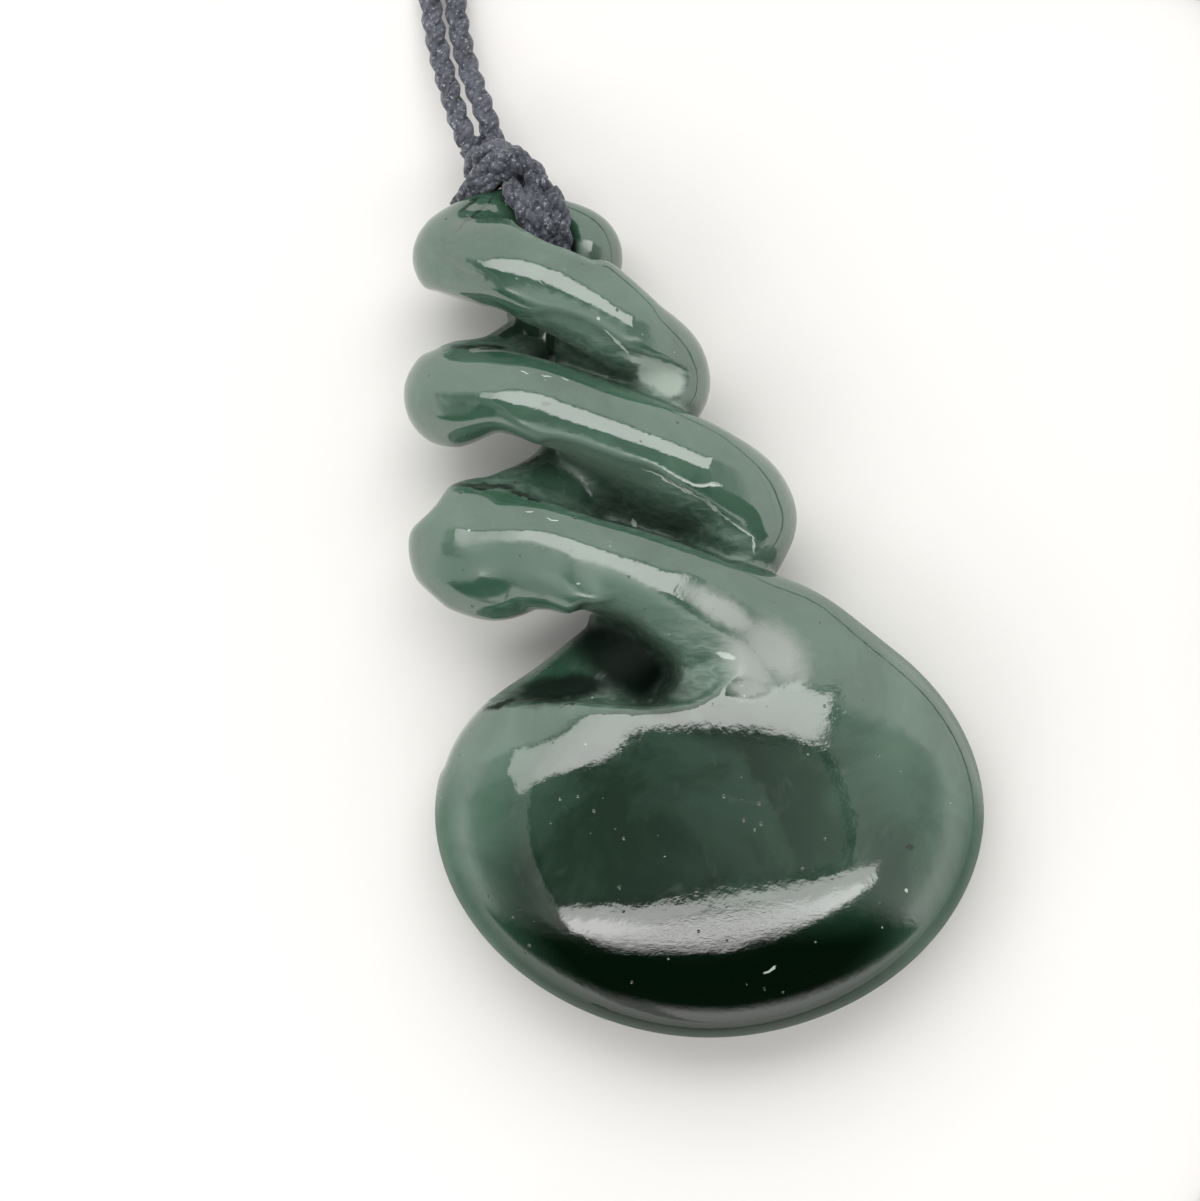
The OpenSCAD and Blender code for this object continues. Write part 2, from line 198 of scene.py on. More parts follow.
# Gaps between the stone's lobes, open from front to back
WEDGES = (
    (
        (-17.93, 22.07), (-16.8, 21.67), (-15.44, 21.26), (-14.32, 20.71), (-13.71, 20.51),
        (-12.85, 20.31), (-12.38, 20.03), (-13.13, 19.53), (-13.75, 19.08), (-14.25, 18.77), (-15, 18.63),
        (-16.09, 18.54), (-16.8, 18.35), (-17.36, 18.06), (-17.93, 17.61),
    ),
    (
        (-19.7, 11.56), (-17.08, 11.22), (-16.06, 11.22), (-15.1, 11.53), (-14.26, 11.87),
        (-13.64, 12.21), (-12.85, 12.12), (-11.95, 11.95), (-11.16, 11.64), (-10.31, 11.27),
        (-11.16, 10.63), (-12.01, 10.09), (-12.85, 9.76), (-13.86, 9.27), (-14.77, 9.18), (-15.68, 9.01),
        (-16.4, 8.76), (-16.84, 8.33), (-17.18, 7.72), (-17.72, 7.04), (-18.47, 6.36), (-19.7, 5.41),
    ),
    (
        (-18.61, 2.07), (-17.93, 1.41), (-16.69, 0.31), (-14.78, -0.36), (-13.64, -0.55), (-12.58, -0.5),
        (-11.63, -0.27), (-10.78, 0.07), (-9.71, 0.17), (-8.57, -0.03), (-7.81, -0.31), (-7.09, -0.69),
        (-8.88, -2.17), (-10.29, -3.37), (-11.24, -4.03), (-12.2, -4.61), (-13.15, -5.22),
        (-14.12, -5.94), (-15.07, -6.9), (-15.92, -8.04), (-16.5, -9.08), (-17.07, -10.62),
        (-18.61, -10.65),
    ),
)
GROOVES = (GROOVE_TOP, GROOVE_ONE, GROOVE_TWO, GROOVE_BEVEL, GROOVE_THREE)
GROOVE_STEPS = 3
# How far past a strand its distances are worked out: where it flows into the body, and elsewhere
FLOW_REACH = 2.5
STRAND_REACH = 2.0
# How soft a cut's edge is, and how soft the slot's is
CUT_SOFT = 0.35
SLOT_SOFT = 0.5
# The slot that the lashing runs in: its radius and how many times it is cut from side to side
SLOT_RADIUS = 0.92
SLOT_REACH = 1.0
SLOT_CUTS = 5
# Where a carved wall shows. Columns: distance from its cut, share
WALL_SHARE = ((-1.1, 0), (-0.6, 1), (0.0525, 1), (0.4025, 0))
# How the stone hides light from a hollow. Columns: how far ahead of the surface, share
HOLLOW_SHARE = ((1.0, 0.25), (2.0, 0.35), (3.0, 0.4))
# How far past the CAD's box the stone's distances are worked out, and a distance that counts as far
GRID_MARGIN = 1.2
FAR = 9.0
# The steepest floor that is allowed for, and what keeps a division from meeting 0
STEEPEST = 4
TINY = 1e-9
SLIGHT = 1e-6

# The dark middle of the body: where it is and how far it reaches
DARK_MID = (1.0, -17.5)
DARK_REACH = (15.5, 12.6)

# Marks on the stone. Columns: x, y, half length, half width, turn in degrees
# Flats that were left unpolished, at the foot of the first groove, painted pale as well for the bright
# light that this wall reflects
FROSTED = (
    (-3.0, 16.2, 0.85, 0.9, 0),
    (-1.75, 15.65, 1.2, 0.95, -25),
    (-2.6, 16.75, 2.1, 0.35, -14),
)
# Worn polish where the strand flows into the body
WORN = (
    (2.0, 0.1, 3.4, 1.1, -32),
    (5.3, -2.4, 3.2, 1.9, -40),
    (3.5, -3.3, 2.6, 1.5, -50),
    (3.6, -5.0, 1.6, 0.9, 0),
)
# Flanks that were left dull
DULL = (
    (-8.1, 20.0, 5.4, 1.0, -24),
    (-7.0, 10.7, 7.0, 1.2, -20),
    (-12.2, 3.5, 4.8, 1.5, -8),
    (-16.2, 3.0, 2.2, 1.1, 0),
    (-10.4, 2.2, 3.2, 1.1, -18),
    (-4.4, 1.1, 5.2, 1.4, -28),
)
# Scuffed polish on the crown of the body
SCUFFED = (
    (1.0, -21.2, 9.5, 1.5, 10),
)
# The deepest shade in the third hollow
DEEP = (
    (-4.8, -3.0, 4.9, 2.6, -38),
    (-9.0, -5.1, 4.2, 1.1, 8),
    (-13.0, -6.1, 1.4, 0.3, 20),
)
# Chips and specks, and painted glints and highlights on bright edges
PALE_MARKS = (
    (-6.5, 19.76, 0.15, 0.13, 0),
    (-5.2, 18.25, 1.2, 0.08, -45),
    (-1.3, 8.65, 2.4, 0.07, -28),
    (1.6, 6.85, 1.1, 0.07, -40),
    (3.2, 5.65, 1.0, 0.09, -32),
    (4.0, 4.7, 0.6, 0.09, -80),
    (-4.0, 6.15, 0.3, 0.13, -70),
    (2.1, -2.8, 0.65, 0.2, -18),
    (5.1, -23.97, 0.46, 0.1, 26),
    (-15.2, 5.6, 0.1, 0.09, 0),
    (-7.8, 2.1, 0.12, 0.07, 0),
    (-6.84, -5.68, 0.09, 0.08, 0),
    (3.3, -5.5, 0.08, 0.07, 0),
    (14.3, -18.65, 0.08, 0.07, 0),
    (12.55, -21.1, 0.07, 0.06, 0),
    (-11.4, 16.25, 0.3, 0.04, -14),
    (-10.0, 15.95, 0.35, 0.04, -14),
    (-8.7, 15.7, 0.3, 0.04, -14),
    (-11.1, 6.85, 0.3, 0.05, -12),
    (-9.5, 6.4, 0.4, 0.05, -12),
    (-14.4, 20.6, 0.4, 0.1, -25),
)
# Painted shade in narrow creases, pits and hairlines, and, in the last two rows, painted reflections of the
# cord on the bar
DARK_MARKS = (
    (-14.6, 18.05, 1.9, 0.17, 0),
    (-14.2, 8.6, 2.2, 0.2, -2),
    (-11.3, 7.9, 1.2, 0.17, -16),
    (-9.95, 14.05, 0.25, 0.15, -15),
    (14.5, -15.72, 0.28, 0.17, 0),
    (3.55, -1.9, 0.22, 0.1, 60),
    (-8.6, -6.2, 0.6, 0.07, 20),
    (1.75, -6.25, 0.6, 0.07, 4),
    (-14.9, 26.9, 1.9, 0.09, 45),
    (-15.2, 27.7, 0.9, 0.08, 40),
)

# The bar at the top of the stone and the lashing round it, as in the CAD
BAR_MID = (-11.2, 26.9, 5.2)
BAR_DROP = (-0.17, -0.15)
TURN_REACH = (2.75, 2.85)
# Columns: angle round the bar (90 is the front and 180 the hole), x of the first turn, pitch of the turns
TURN = (
    (46, -12.6, 1.4),
    (70, -11.8, 1.3),
    (100, -11.1, 1.05),
    (140, -10.8, 0.95),
    (180, -10.7, 0.95),
    (220, -10.9, 0.95),
    (260, -11.4, 1.0),
    (294, -12.2, 1.05),
    (314, -12.7, 1.1),
)
TURNS = 3
TURN_STEPS = 6
SLOT_STEPS = 2

# The two runs of the neck cord, as in the CAD. Columns: x, y, height above where the cord lies flat
LEFT_RUN = (
    (-15.4, 32.1, 4.4), (-16.1, 34.0, 3.7), (-16.9, 36.6, 2.6), (-17.6, 39.4, 1.5), (-18.0, 42.0, 0.6),
    (-18.1, 44.6, 0.1), (-17.0, 47.0, 0), (-14.0, 48.4, 0), (-8.0, 48.6, 0), (2.0, 48.2, 0),
    (13.0, 48.7, 0), (24.0, 48.2, 0), (33.8, 47.2, 0), (39.4, 43.6, 0), (40.2, 35.0, 0), (40.6, 24.0, 0),
    (39.9, 12.0, 0), (40.4, 0.0, 0), (40.7, -12.0, 0), (40.1, -24.0, 0), (39.8, -36.5, 0),
    (37.0, -43.6, 0), (29.5, -46.0, 0), (16.0, -45.9, 0), (4.0, -45.4, 0), (-6.0, -45.6, 0),
    (-11.0, -45.6, 0),
)
RIGHT_RUN = (
    (-13.7, 32.6, 4.3), (-14.3, 34.4, 3.6), (-15.2, 36.8, 2.6), (-15.9, 39.4, 1.5), (-16.3, 42.0, 0.6),
    (-16.1, 44.2, 0.1), (-14.4, 45.8, 0), (-11.0, 46.4, 0), (-5.0, 46.2, 0), (4.0, 46.4, 0),
    (14.0, 46.1, 0), (24.0, 46.0, 0), (32.6, 45.0, 0), (37.0, 41.4, 0), (37.8, 33.0, 0), (38.2, 23.0, 0),
    (37.9, 12.0, 0), (37.8, 0.0, 0), (38.5, -12.0, 0), (38.1, -24.0, 0), (37.6, -35.5, 0),
    (35.2, -41.6, 0), (29.0, -43.9, 0), (16.0, -43.6, 0), (4.0, -43.3, 0), (-6.0, -43.4, 0),
    (-11.0, -43.6, 0),
)
RUN_STEPS = 6
LAID_GAP = 0.05
# The end knot's two wraps: where they stand along the cord, how far they lean and their half-sizes
END_KNOT_MID = (-13.2, -44.6, 1.85)
END_WRAPS = (-0.45, 0.45)
END_LEAN = 0.33
END_WIDE = 1.0
END_HIGH = 0.95
END_POINTS = 17
END_STEPS = 4
# How thick the runs and the end knot are plaited, in cord thicknesses
RUN_FULL = 1.06
END_FULL = 0.95
# The plait: its strands, a strand's sides, points in one pitch, a strand's radius in cord thicknesses, how
# far the strands swing to the side and how flat the plait is
STRANDS = 3
STRAND_SIDES = 7
PITCH_POINTS = 13
STRAND_SIZE = 0.275
SWING = 1.05
FLATNESS = 0.82
# How far a strand's end bulges, in its radii, and how far one strand's fibres start after another's
END_BULGE = 0.4
FIBRE_SHIFT = 0.37

# The cords that make the knot above the bar, with how thick each is in cord thicknesses. Columns: x, y, z
KNOT_CORDS = (
    (1.0, (
        (-15.3, 32.1, 5.2), (-15.0, 31.4, 5.7), (-14.5, 30.7, 6.2), (-13.9, 29.9, 6.3),
    )),
    (1.0, (
        (-13.65, 32.5, 5.1), (-13.4, 31.8, 5.8), (-13.0, 31.1, 6.5), (-12.4, 30.4, 6.8),
    )),
    (0.95, (
        (-15.0, 30.1, 4.2), (-14.9, 30.8, 5.8), (-14.3, 31.3, 6.9), (-13.3, 31.4, 7.2),
        (-12.3, 31.2, 7.0), (-11.5, 30.7, 6.2),
    )),
    (1.1, (
        (-15.85, 27.8, 4.0), (-15.2, 28.67, 5.4), (-14.52, 29.63, 6.6), (-13.71, 30.44, 7.3),
        (-12.76, 30.88, 7.6), (-11.8, 30.71, 7.6), (-10.99, 30.03, 7.4), (-10.45, 29.1, 7.0),
        (-10.1, 28.4, 6.4),
    )),
    (0.9, (
        (-14.9, 27.95, 4.9), (-14.35, 28.85, 6.1), (-13.75, 29.55, 6.9), (-12.96, 30.0, 7.1),
        (-12.1, 29.9, 6.9),
    )),
    (1.0, (
        (-15.1, 29.6, 3.4), (-13.8, 30.3, 3.4), (-12.5, 30.8, 3.6), (-11.3, 30.2, 4.2),
        (-10.5, 29.4, 4.8),
    )),
    (1.0, (
        (-15.3, 28.8, 3.0), (-14.1, 29.4, 4.8), (-12.8, 29.8, 5.4), (-11.5, 29.5, 5.7),
        (-10.4, 28.8, 5.6),
    )),
    (1.0, (
        (-15.3, 31.2, 3.2), (-14.4, 31.9, 4.6), (-13.3, 31.7, 5.8), (-12.6, 30.9, 5.4),
        (-12.9, 30.2, 3.6),
    )),
)

# The studio: what the camera looks at, in millimetres, and the camera, the sheet and the light panels
VIEW_MID = (-6.36, 0.88, 6.5)
SENSOR = 36
CLIP = (0.01, 10)
SHEET_HALF = 3.0
SHEET_DROP = 0.00005
KEY_SIZE = (0.8, 0.6)
FILL_SIZE = (0.6, 0.6)


def curve_through(rows, steps):
    """A smooth curve through every row, with a row's other columns following it."""
    rows = np.array(rows, float)
    padded = np.vstack([rows[0], rows, rows[-1]])
    t = np.arange(steps)[:, None] / steps
    parts = []
    for i in range(len(rows) - 1):
        a, b, c, d = padded[i : i + 4]
        bend = 2 * a - 5 * b + 4 * c - d
        twist = 3 * b - a - 3 * c + d
        parts.append(0.5 * (2 * b + (c - a) * t + bend * t**2 + twist * t**3))
    return np.vstack([*parts, rows[-1]])


def lengths_along(line):
    """How far along a line each of its points is."""
    step = np.linalg.norm(np.diff(line, axis=0), axis=1)
    return np.concatenate([[0], np.cumsum(step)])


def spaced(points, gap):
    """The same line with its points an even gap apart."""
    at = lengths_along(points)
    want = np.linspace(0, at[-1], max(2, int(round(at[-1] / gap)) + 1))
    return np.stack([np.interp(want, at, points[:, k]) for k in range(points.shape[1])], axis=1)


def between_steps(at, count):
    """The step below each place and how far past it the place is."""
    at = np.clip(at, 0, count - 1.001)
    step = at.astype(int)
    return step, at - step


class Grid:
    """A block of evenly spaced points that holds the distance to the stone's surface."""

    def __init__(self, low, high, step):
        self.low = np.array(low, float)
        self.step = step
        self.count = np.ceil((np.array(high) - self.low) / step).astype(int) + 1
        self.axes = [self.low[k] + step * np.arange(self.count[k]) for k in range(3)]

    def empty(self):
        """A field that is far from everything."""
        return np.full(self.count, FAR)

    def from_above(self):
        """The x and y of every column of points."""
        return np.meshgrid(self.axes[0], self.axes[1], indexing="ij")

    def block(self, low, high):
        """The slices of the points between two corners."""
        first = np.floor((np.array(low) - self.low) / self.step).astype(int)
        last = np.ceil((np.array(high) - self.low) / self.step).astype(int) + 1
        first = np.clip(first, 0, self.count)
        last = np.clip(last, 0, self.count)
        return tuple(slice(a, b) for a, b in zip(first, last))

    def points(self, block):
        """The x, y and z of a block of points."""
        return np.meshgrid(*[self.axes[k][block[k]] for k in range(3)], indexing="ij")

    def sample(self, field, points):
        """The field's values at any points, read between the grid's own."""
        i, t = between_steps((points - self.low) / self.step, self.count)
        total = 0
        for corner in range(8):
            pick = [(corner >> k) & 1 for k in range(3)]
            weight = np.prod([t[:, k] if pick[k] else 1 - t[:, k] for k in range(3)], axis=0)
            total = total + weight * field[i[:, 0] + pick[0], i[:, 1] + pick[1], i[:, 2] + pick[2]]
        return total


def sweep_distance(grid, route, reach):
    """Distance to beads strung along a route.

    The route's columns are x, y, z, the half-widths left and right of the way it runs, and the half-depth.
    """
    field = grid.empty()
    for a, b in zip(route[:-1], route[1:]):
        wide = max(a[3], a[4], b[3], b[4])
        size = np.array([wide, wide, max(a[5], b[5])]) + reach
        block = grid.block(np.minimum(a[:3], b[:3]) - size, np.maximum(a[:3], b[:3]) + size)
        x, y, z = grid.points(block)
        if not x.size:
            continue
        run = b[:3] - a[:3]
        t = ((x - a[0]) * run[0] + (y - a[1]) * run[1] + (z - a[2]) * run[2]) / max(run @ run, TINY)
        t = np.clip(t, 0, 1)
        dx = x - a[0] - t * run[0]
        dy = y - a[1] - t * run[1]
        left = run[0] * dy - run[1] * dx > 0
        wide = np.where(left, a[3] + t * (b[3] - a[3]), a[4] + t * (b[4] - a[4]))
        deep = a[5] + t * (b[5] - a[5])
        across = dx**2 + dy**2
        up = (z - a[2] - t * run[2]) ** 2
        ratio = np.sqrt(across / wide**2 + up / deep**2)
        slope = np.sqrt(across / wide**4 + up / deep**4) + SLIGHT
        field[block] = np.minimum(field[block], ratio * (ratio - 1) / slope)
    return field


def blend(a, b, soft):
    """Joins two distance fields with a soft fillet."""
    h = np.clip(0.5 + 0.5 * (b - a) / soft, 0, 1)
    return b + (a - b) * h - soft * h * (1 - h)


def carve(a, b, soft):
    """Cuts the second shape out of the first with a softened edge."""
    return -blend(-a, b, soft)


def near_line(line, x, y):
    """How far each place is from a line, and the line's other columns at its nearest point."""
    best = np.full(x.shape, np.inf)
    others = [np.zeros(x.shape) for _ in range(line.shape[1] - 2)]
    for a, b in zip(line[:-1], line[1:]):
        run = b[:2] - a[:2]
        t = np.clip(((x - a[0]) * run[0] + (y - a[1]) * run[1]) / max(run @ run, TINY), 0, 1)
        away = np.hypot(x - a[0] - t * run[0], y - a[1] - t * run[1])
        closer = away < best
        best = np.where(closer, away, best)
        for k, other in enumerate(others):
            others[k] = np.where(closer, a[k + 2] + t * (b[k + 2] - a[k + 2]), other)
    return best, *others


def signed(line, x, y):
    """Distance to a line, below 0 inside it. It closes on itself or on the axis x = 0."""
    inside = np.zeros(x.shape, bool)
    for a, b in zip(line[:-1], line[1:]):
        crosses = (a[1] > y) != (b[1] > y)
        with np.errstate(divide="ignore", invalid="ignore"):
            edge = a[0] + (y - a[1]) * (b[0] - a[0]) / (b[1] - a[1])
        inside ^= crosses & (x < edge)
    (away,) = near_line(line[:, :2], x, y)
    return np.where(inside, -away, away)


def body_distance(grid, sizes):
    """Distance to the pillow-shaped body, from its outline and its profile."""
    profile = curve_through(PROFILE, PROFILE_STEPS)
    line = profile * (PROFILE_RADIUS, sizes.body_thick)
    reach = np.arange(0, PROFILE_REACH, PROFILE_STEP)
    height = np.arange(PROFILE_FOOT, PROFILE_TOP, PROFILE_STEP)
    table = signed(line, *np.meshgrid(reach, height, indexing="ij"))
    x, y = grid.from_above()
    x, y = x - BODY_MID[0], y - BODY_MID[1]
    power = sizes.body_square
    wide = np.abs(x) / (sizes.body_wide / 2)
    long = np.abs(y) / (sizes.body_long / 2)
    share = (wide**power + long**power) ** (1 / power)
    turned = (np.degrees(np.arctan2(y, x)) - SHOULDER_TURN) / SHOULDER_SPREAD
    shoulder = 0.5 * (1 + np.cos(np.pi * np.clip(turned, -1, 1)))
    share = share / (1 - SHOULDER_IN * shoulder)
    i, t = between_steps(share * PROFILE_RADIUS / PROFILE_STEP, len(reach))
    j, s = between_steps((grid.axes[2] - PROFILE_FOOT) / PROFILE_STEP, len(height))
    t = t[..., None]
    columns = table[:, j] * (1 - s) + table[:, j + 1] * s
    return columns[i] * (1 - t) + columns[i + 1] * t


def turn_points(k):
    """The middle line of one turn of the lashing."""
    angle, x, pitch = np.array(TURN).T
    x = x + k * pitch
    away = x - BAR_MID[0]
    turned = np.radians(angle)
    y = BAR_MID[1] + away * BAR_DROP[0] + TURN_REACH[0] * np.cos(turned)
    z = BAR_MID[2] + away * BAR_DROP[1] + TURN_REACH[1] * np.sin(turned)
    return np.column_stack([x, y, z])


def outline_distance(outline, x, y):
    """Distance to a closed outline, below 0 inside."""
    outline = np.array(outline, float)
    return signed(np.vstack([outline, outline[:1]]), x, y)


def groove_distance(grid, groove):
    """Distance to what a groove takes away: all above its floor, inside its outline."""
    rim = curve_through(groove["rim"], GROOVE_STEPS)
    x, y = grid.from_above()
    flat = outline_distance(np.vstack([rim[:, :2], groove["edge"]]), x, y)
    away, height, stretch = near_line(rim, x, y)
    floor = height - np.interp(away / stretch, *zip(*groove["drop"]))
    slope = np.hypot(*np.gradient(floor, grid.step))
    steep = 1 / np.sqrt(1 + np.minimum(slope, STEEPEST) ** 2)
    up = (floor[..., None] - grid.axes[2]) * steep[..., None]
    return np.maximum(flat[..., None], up)


def stone_distance(grid, sizes):
    """Distance to the whole carved stone."""
    thick = sizes.twist_thick

    def in_place(route):
        level = np.clip(route[:, 2], -1, 1)
        z = thick / 2 + level * (thick / 2 - route[:, 5])
        return np.column_stack([route[:, :2], z, route[:, 3:]])

    strand = in_place(curve_through(STRAND, STRAND_STEPS))

    def part(first, last):
        return strand[first * STRAND_STEPS : last * STRAND_STEPS + 1]

    near = sweep_distance(grid, part(*FLOW_PART), FLOW_REACH)
    core = curve_through(CORE, CORE_STEPS)
    middle = np.full(len(core), thick / 2)
    core = np.column_stack([core[:, :2], middle, core[:, 2], core[:, 2:]])
    whole = blend(body_distance(grid, sizes), near, sizes.flow)
    for first, last in FRONT_PARTS:
        whole = blend(whole, sweep_distance(grid, part(first, last), STRAND_REACH), sizes.crease)
    whole = blend(whole, sweep_distance(grid, core, STRAND_REACH), sizes.crease)
    for groove in GROOVES:
        whole = carve(whole, groove_distance(grid, groove), CUT_SOFT)
    for first, last in REAR_PARTS:
        whole = blend(whole, sweep_distance(grid, part(first, last), STRAND_REACH), sizes.crease)
    for k in np.linspace(0, TURNS - 1, SLOT_CUTS):
        route = curve_through(turn_points(k), SLOT_STEPS)
        room = np.full((len(route), 3), SLOT_RADIUS)
        slot = sweep_distance(grid, np.column_stack([route, room]), SLOT_REACH)
        whole = carve(whole, slot, SLOT_SOFT)
    for wedge in WEDGES:
        gap = outline_distance(wedge, *grid.from_above())
        whole = carve(whole, gap[..., None] * np.ones(grid.count), CUT_SOFT)
    return np.maximum(whole, -grid.axes[2])


def carved_share(grid, points):
    """How far each point lies on a carved wall: 1 on the wall, falling to 0 past its rim."""
    cut = grid.empty()
    for groove in GROOVES:
        cut = np.minimum(cut, groove_distance(grid, groove))
    return np.interp(grid.sample(cut, points), *zip(*WALL_SHARE))


def hollow_share(grid, field, points):
    """How deep in a hollow each point lies: 0 in the open and 1 at the foot of a groove. It sets how much
    shade is painted there.
    """
    slopes = np.gradient(field, grid.step)
    ahead = np.stack([grid.sample(slope, points) for slope in slopes], axis=1)
    ahead /= np.linalg.norm(ahead, axis=1)[:, None] + TINY
    total = 0
    for reach, share in HOLLOW_SHARE:
        away = grid.sample(field, points + ahead * reach)
        total = total + share * np.clip(1 - away / reach, 0, 1)
    return total


def skin(grid, field):
    """Points and quads of the surface where the field is zero.

    A cell has one point, amid the places where the surface crosses its edges. A crossed edge has one quad.
    """
    inside = field < 0
    cells = grid.count - 1
    total = np.zeros((*cells, 3))
    hits = np.zeros(cells)

    def window(offset):
        return tuple(slice(o, o + n) for o, n in zip(offset, cells))

    for axis in range(3):
        others = [k for k in range(3) if k != axis]
        for corner in range(4):
            start = [0, 0, 0]
            start[others[0]] = corner & 1
            start[others[1]] = corner >> 1
            end = list(start)
            end[axis] = 1
            f0, f1 = field[window(start)], field[window(end)]
            crossed = inside[window(start)] != inside[window(end)]
            with np.errstate(divide="ignore", invalid="ignore"):
                t = np.where(crossed, f0 / (f0 - f1), 0)
            hits += crossed
            for k in range(3):
                total[..., k] += np.where(crossed, t if k == axis else start[k], 0)
    used = hits > 0
    names = np.full(cells, -1)
    names[used] = np.arange(used.sum())
    where = np.argwhere(used)
    points = grid.low + grid.step * (where + total[used] / hits[used][:, None])
    quads = []
    for axis in range(3):
        one, two = [(1, 2), (2, 0), (0, 1)][axis]
        start = [slice(1, n) for n in cells]
        start[axis] = slice(0, cells[axis])
        end = list(start)
        end[axis] = slice(1, cells[axis] + 1)
        a, b = inside[tuple(start)], inside[tuple(end)]
        place = np.argwhere(a != b)
        place[:, one] += 1
        place[:, two] += 1
        flip = b[a != b]
        ring = []
        for p, q in ((0, 0), (-1, 0), (-1, -1), (0, -1)):
            c = place.copy()
            c[:, one] += p
            c[:, two] += q
            ring.append(names[c[:, 0], c[:, 1], c[:, 2]])
        ring = np.stack(ring, axis=1)
        ring[flip] = ring[flip][:, ::-1]
        quads.append(ring)
    return points, np.vstack(quads)


def settle(grid, field, points, rounds, longest=0.2):
    """Moves points onto the field's zero surface, in steps no longer than the longest."""
    slopes = np.gradient(field, grid.step)
    for _ in range(rounds):
        value = grid.sample(field, points)
        slope = np.stack([grid.sample(s, points) for s in slopes], axis=1)
        size = (slope**2).sum(1) + SLIGHT
        points = points - slope * np.clip(value / size, -longest, longest)[:, None]
    return points


def relax(points, quads, rounds, inward=0.5, outward=-0.53):
    """Evens out a mesh without shrinking it: each round draws its points in and then pushes them out."""
    edges = np.sort(np.vstack([quads[:, [k, (k + 1) % 4]] for k in range(4)]), axis=1)
    edges = np.unique(edges, axis=0)
    count = np.bincount(edges.ravel(), minlength=len(points))
    for i in range(2 * rounds):
        weight = inward if i % 2 == 0 else outward
        near = np.zeros_like(points)
        for k in range(3):
            near[:, k] = np.bincount(edges[:, 0], points[edges[:, 1], k], len(points))
            near[:, k] += np.bincount(edges[:, 1], points[edges[:, 0], k], len(points))
        points = points + weight * (near / count[:, None] - points)
    return points


def blur(field, rounds):
    """Softens a field with a short kernel along each axis in turn."""
    for _ in range(rounds):
        for axis in range(3):
            ahead = np.roll(field, -1, axis)
            behind = np.roll(field, 1, axis)
            field = 0.25 * ahead + 0.5 * field + 0.25 * behind
    return field


def mesh_object(name, points, faces, uvs=None):
    """A smooth mesh object from points in millimetres. A quad with a point twice is a triangle."""
    mesh = bpy.data.meshes.new(name)
    mesh.from_pydata((points * MM).tolist(), [], [tuple(dict.fromkeys(face)) for face in faces.tolist()])
    mesh.shade_smooth()
    if uvs is not None:
        corners = np.zeros(len(mesh.loops), np.int32)
        mesh.loops.foreach_get("vertex_index", corners)
        layer = mesh.uv_layers.new(name="Plait")
        layer.data.foreach_set("uv", uvs[corners].astype(np.float32).ravel())
    obj = bpy.data.objects.new(name, mesh)
    bpy.context.scene.collection.objects.link(obj)
    return obj


def joined(parts):
    """Several meshes, each with points, faces and surface coordinates, as one."""
    points, faces, uvs = zip(*parts)
    starts = np.cumsum([0, *map(len, points[:-1])])
    faces = [face + start for face, start in zip(faces, starts)]
    return np.vstack(points), np.vstack(faces), np.vstack(uvs)


def hand_over(obj, material, node):
    """Gives a piece its material and puts it in place of its CAD node."""
    obj.data.materials.append(material)
    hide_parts(node)
    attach(obj, "root")


def frames_along(line):
    """Directions ahead, to the side and up at each point of a line, turning as little as they can."""
    ahead = np.gradient(line, axis=0)
    ahead /= np.linalg.norm(ahead, axis=1)[:, None]
    side = np.cross(ahead[0], (0.0, 0.0, 1.0))
    if np.linalg.norm(side) < 0.2:
        side = np.cross(ahead[0], (1.0, 0.0, 0.0))
    sides = []
    for a in ahead:
        side = side - a * (side @ a)
        side /= np.linalg.norm(side)
        sides.append(side)
    sides = np.array(sides)
    return ahead, sides, np.cross(sides, ahead)


def tube_mesh(line, radius, sides):
    """Points, faces and surface coordinates of a tube along a line, with its ends closed."""
    ahead, side, up = frames_along(line)
    turn = 2 * np.pi * np.arange(sides) / sides
    ring = np.cos(turn)[None, :, None] * side[:, None, :] + np.sin(turn)[None, :, None] * up[:, None, :]
    ends = [line[0] - ahead[0] * radius * END_BULGE, line[-1] + ahead[-1] * radius * END_BULGE]
    points = np.vstack([(line[:, None, :] + radius * ring).reshape(-1, 3), ends])
    along = lengths_along(line)
    uv = np.stack([np.repeat(along, sides), np.tile(np.arange(sides) / sides, len(line))], axis=1)
    uv = np.vstack([uv, [[0, 0], [along[-1], 0]]])
    i = np.arange(len(line) - 1)[:, None] * sides
    k = np.arange(sides)
    after = (k + 1) % sides
    quads = np.stack([i + k, i + sides + k, i + sides + after, i + after], axis=-1).reshape(-1, 4)
    last = (len(line) - 1) * sides
    start = len(line) * sides
    caps = []
    for here, there in zip(k, after):
        caps.append((start, here, there, there))
        caps.append((start + 1, last + there, last + here, last + here))
    return points, np.vstack([quads, caps]), uv


def plait_mesh(line, thick, pitch):
    """Points, faces and surface coordinates of a plaited cord along a line."""
    line = spaced(line, pitch / PITCH_POINTS)
    along = lengths_along(line)
    _, side, up = frames_along(line)
    radius = thick * STRAND_SIZE
    wide = thick / 2 - radius
    parts = []
    for k in range(STRANDS):
        phase = 2 * np.pi * (along / pitch + k / STRANDS)
        x = wide * np.sin(phase) * SWING
        z = wide * FLATNESS * np.sin(2 * phase)
        path = line + side * x[:, None] + up * z[:, None]
        points, faces, uv = tube_mesh(path, radius, STRAND_SIDES)
        parts.append((points, faces, uv + (k * FIBRE_SHIFT, 0)))
    return joined(parts)


def plait_object(name, lines, pitch):
    """One object of plaited cords along several lines, each with its thickness."""
    return mesh_object(name, *joined([plait_mesh(line, thick, pitch) for line, thick in lines]))


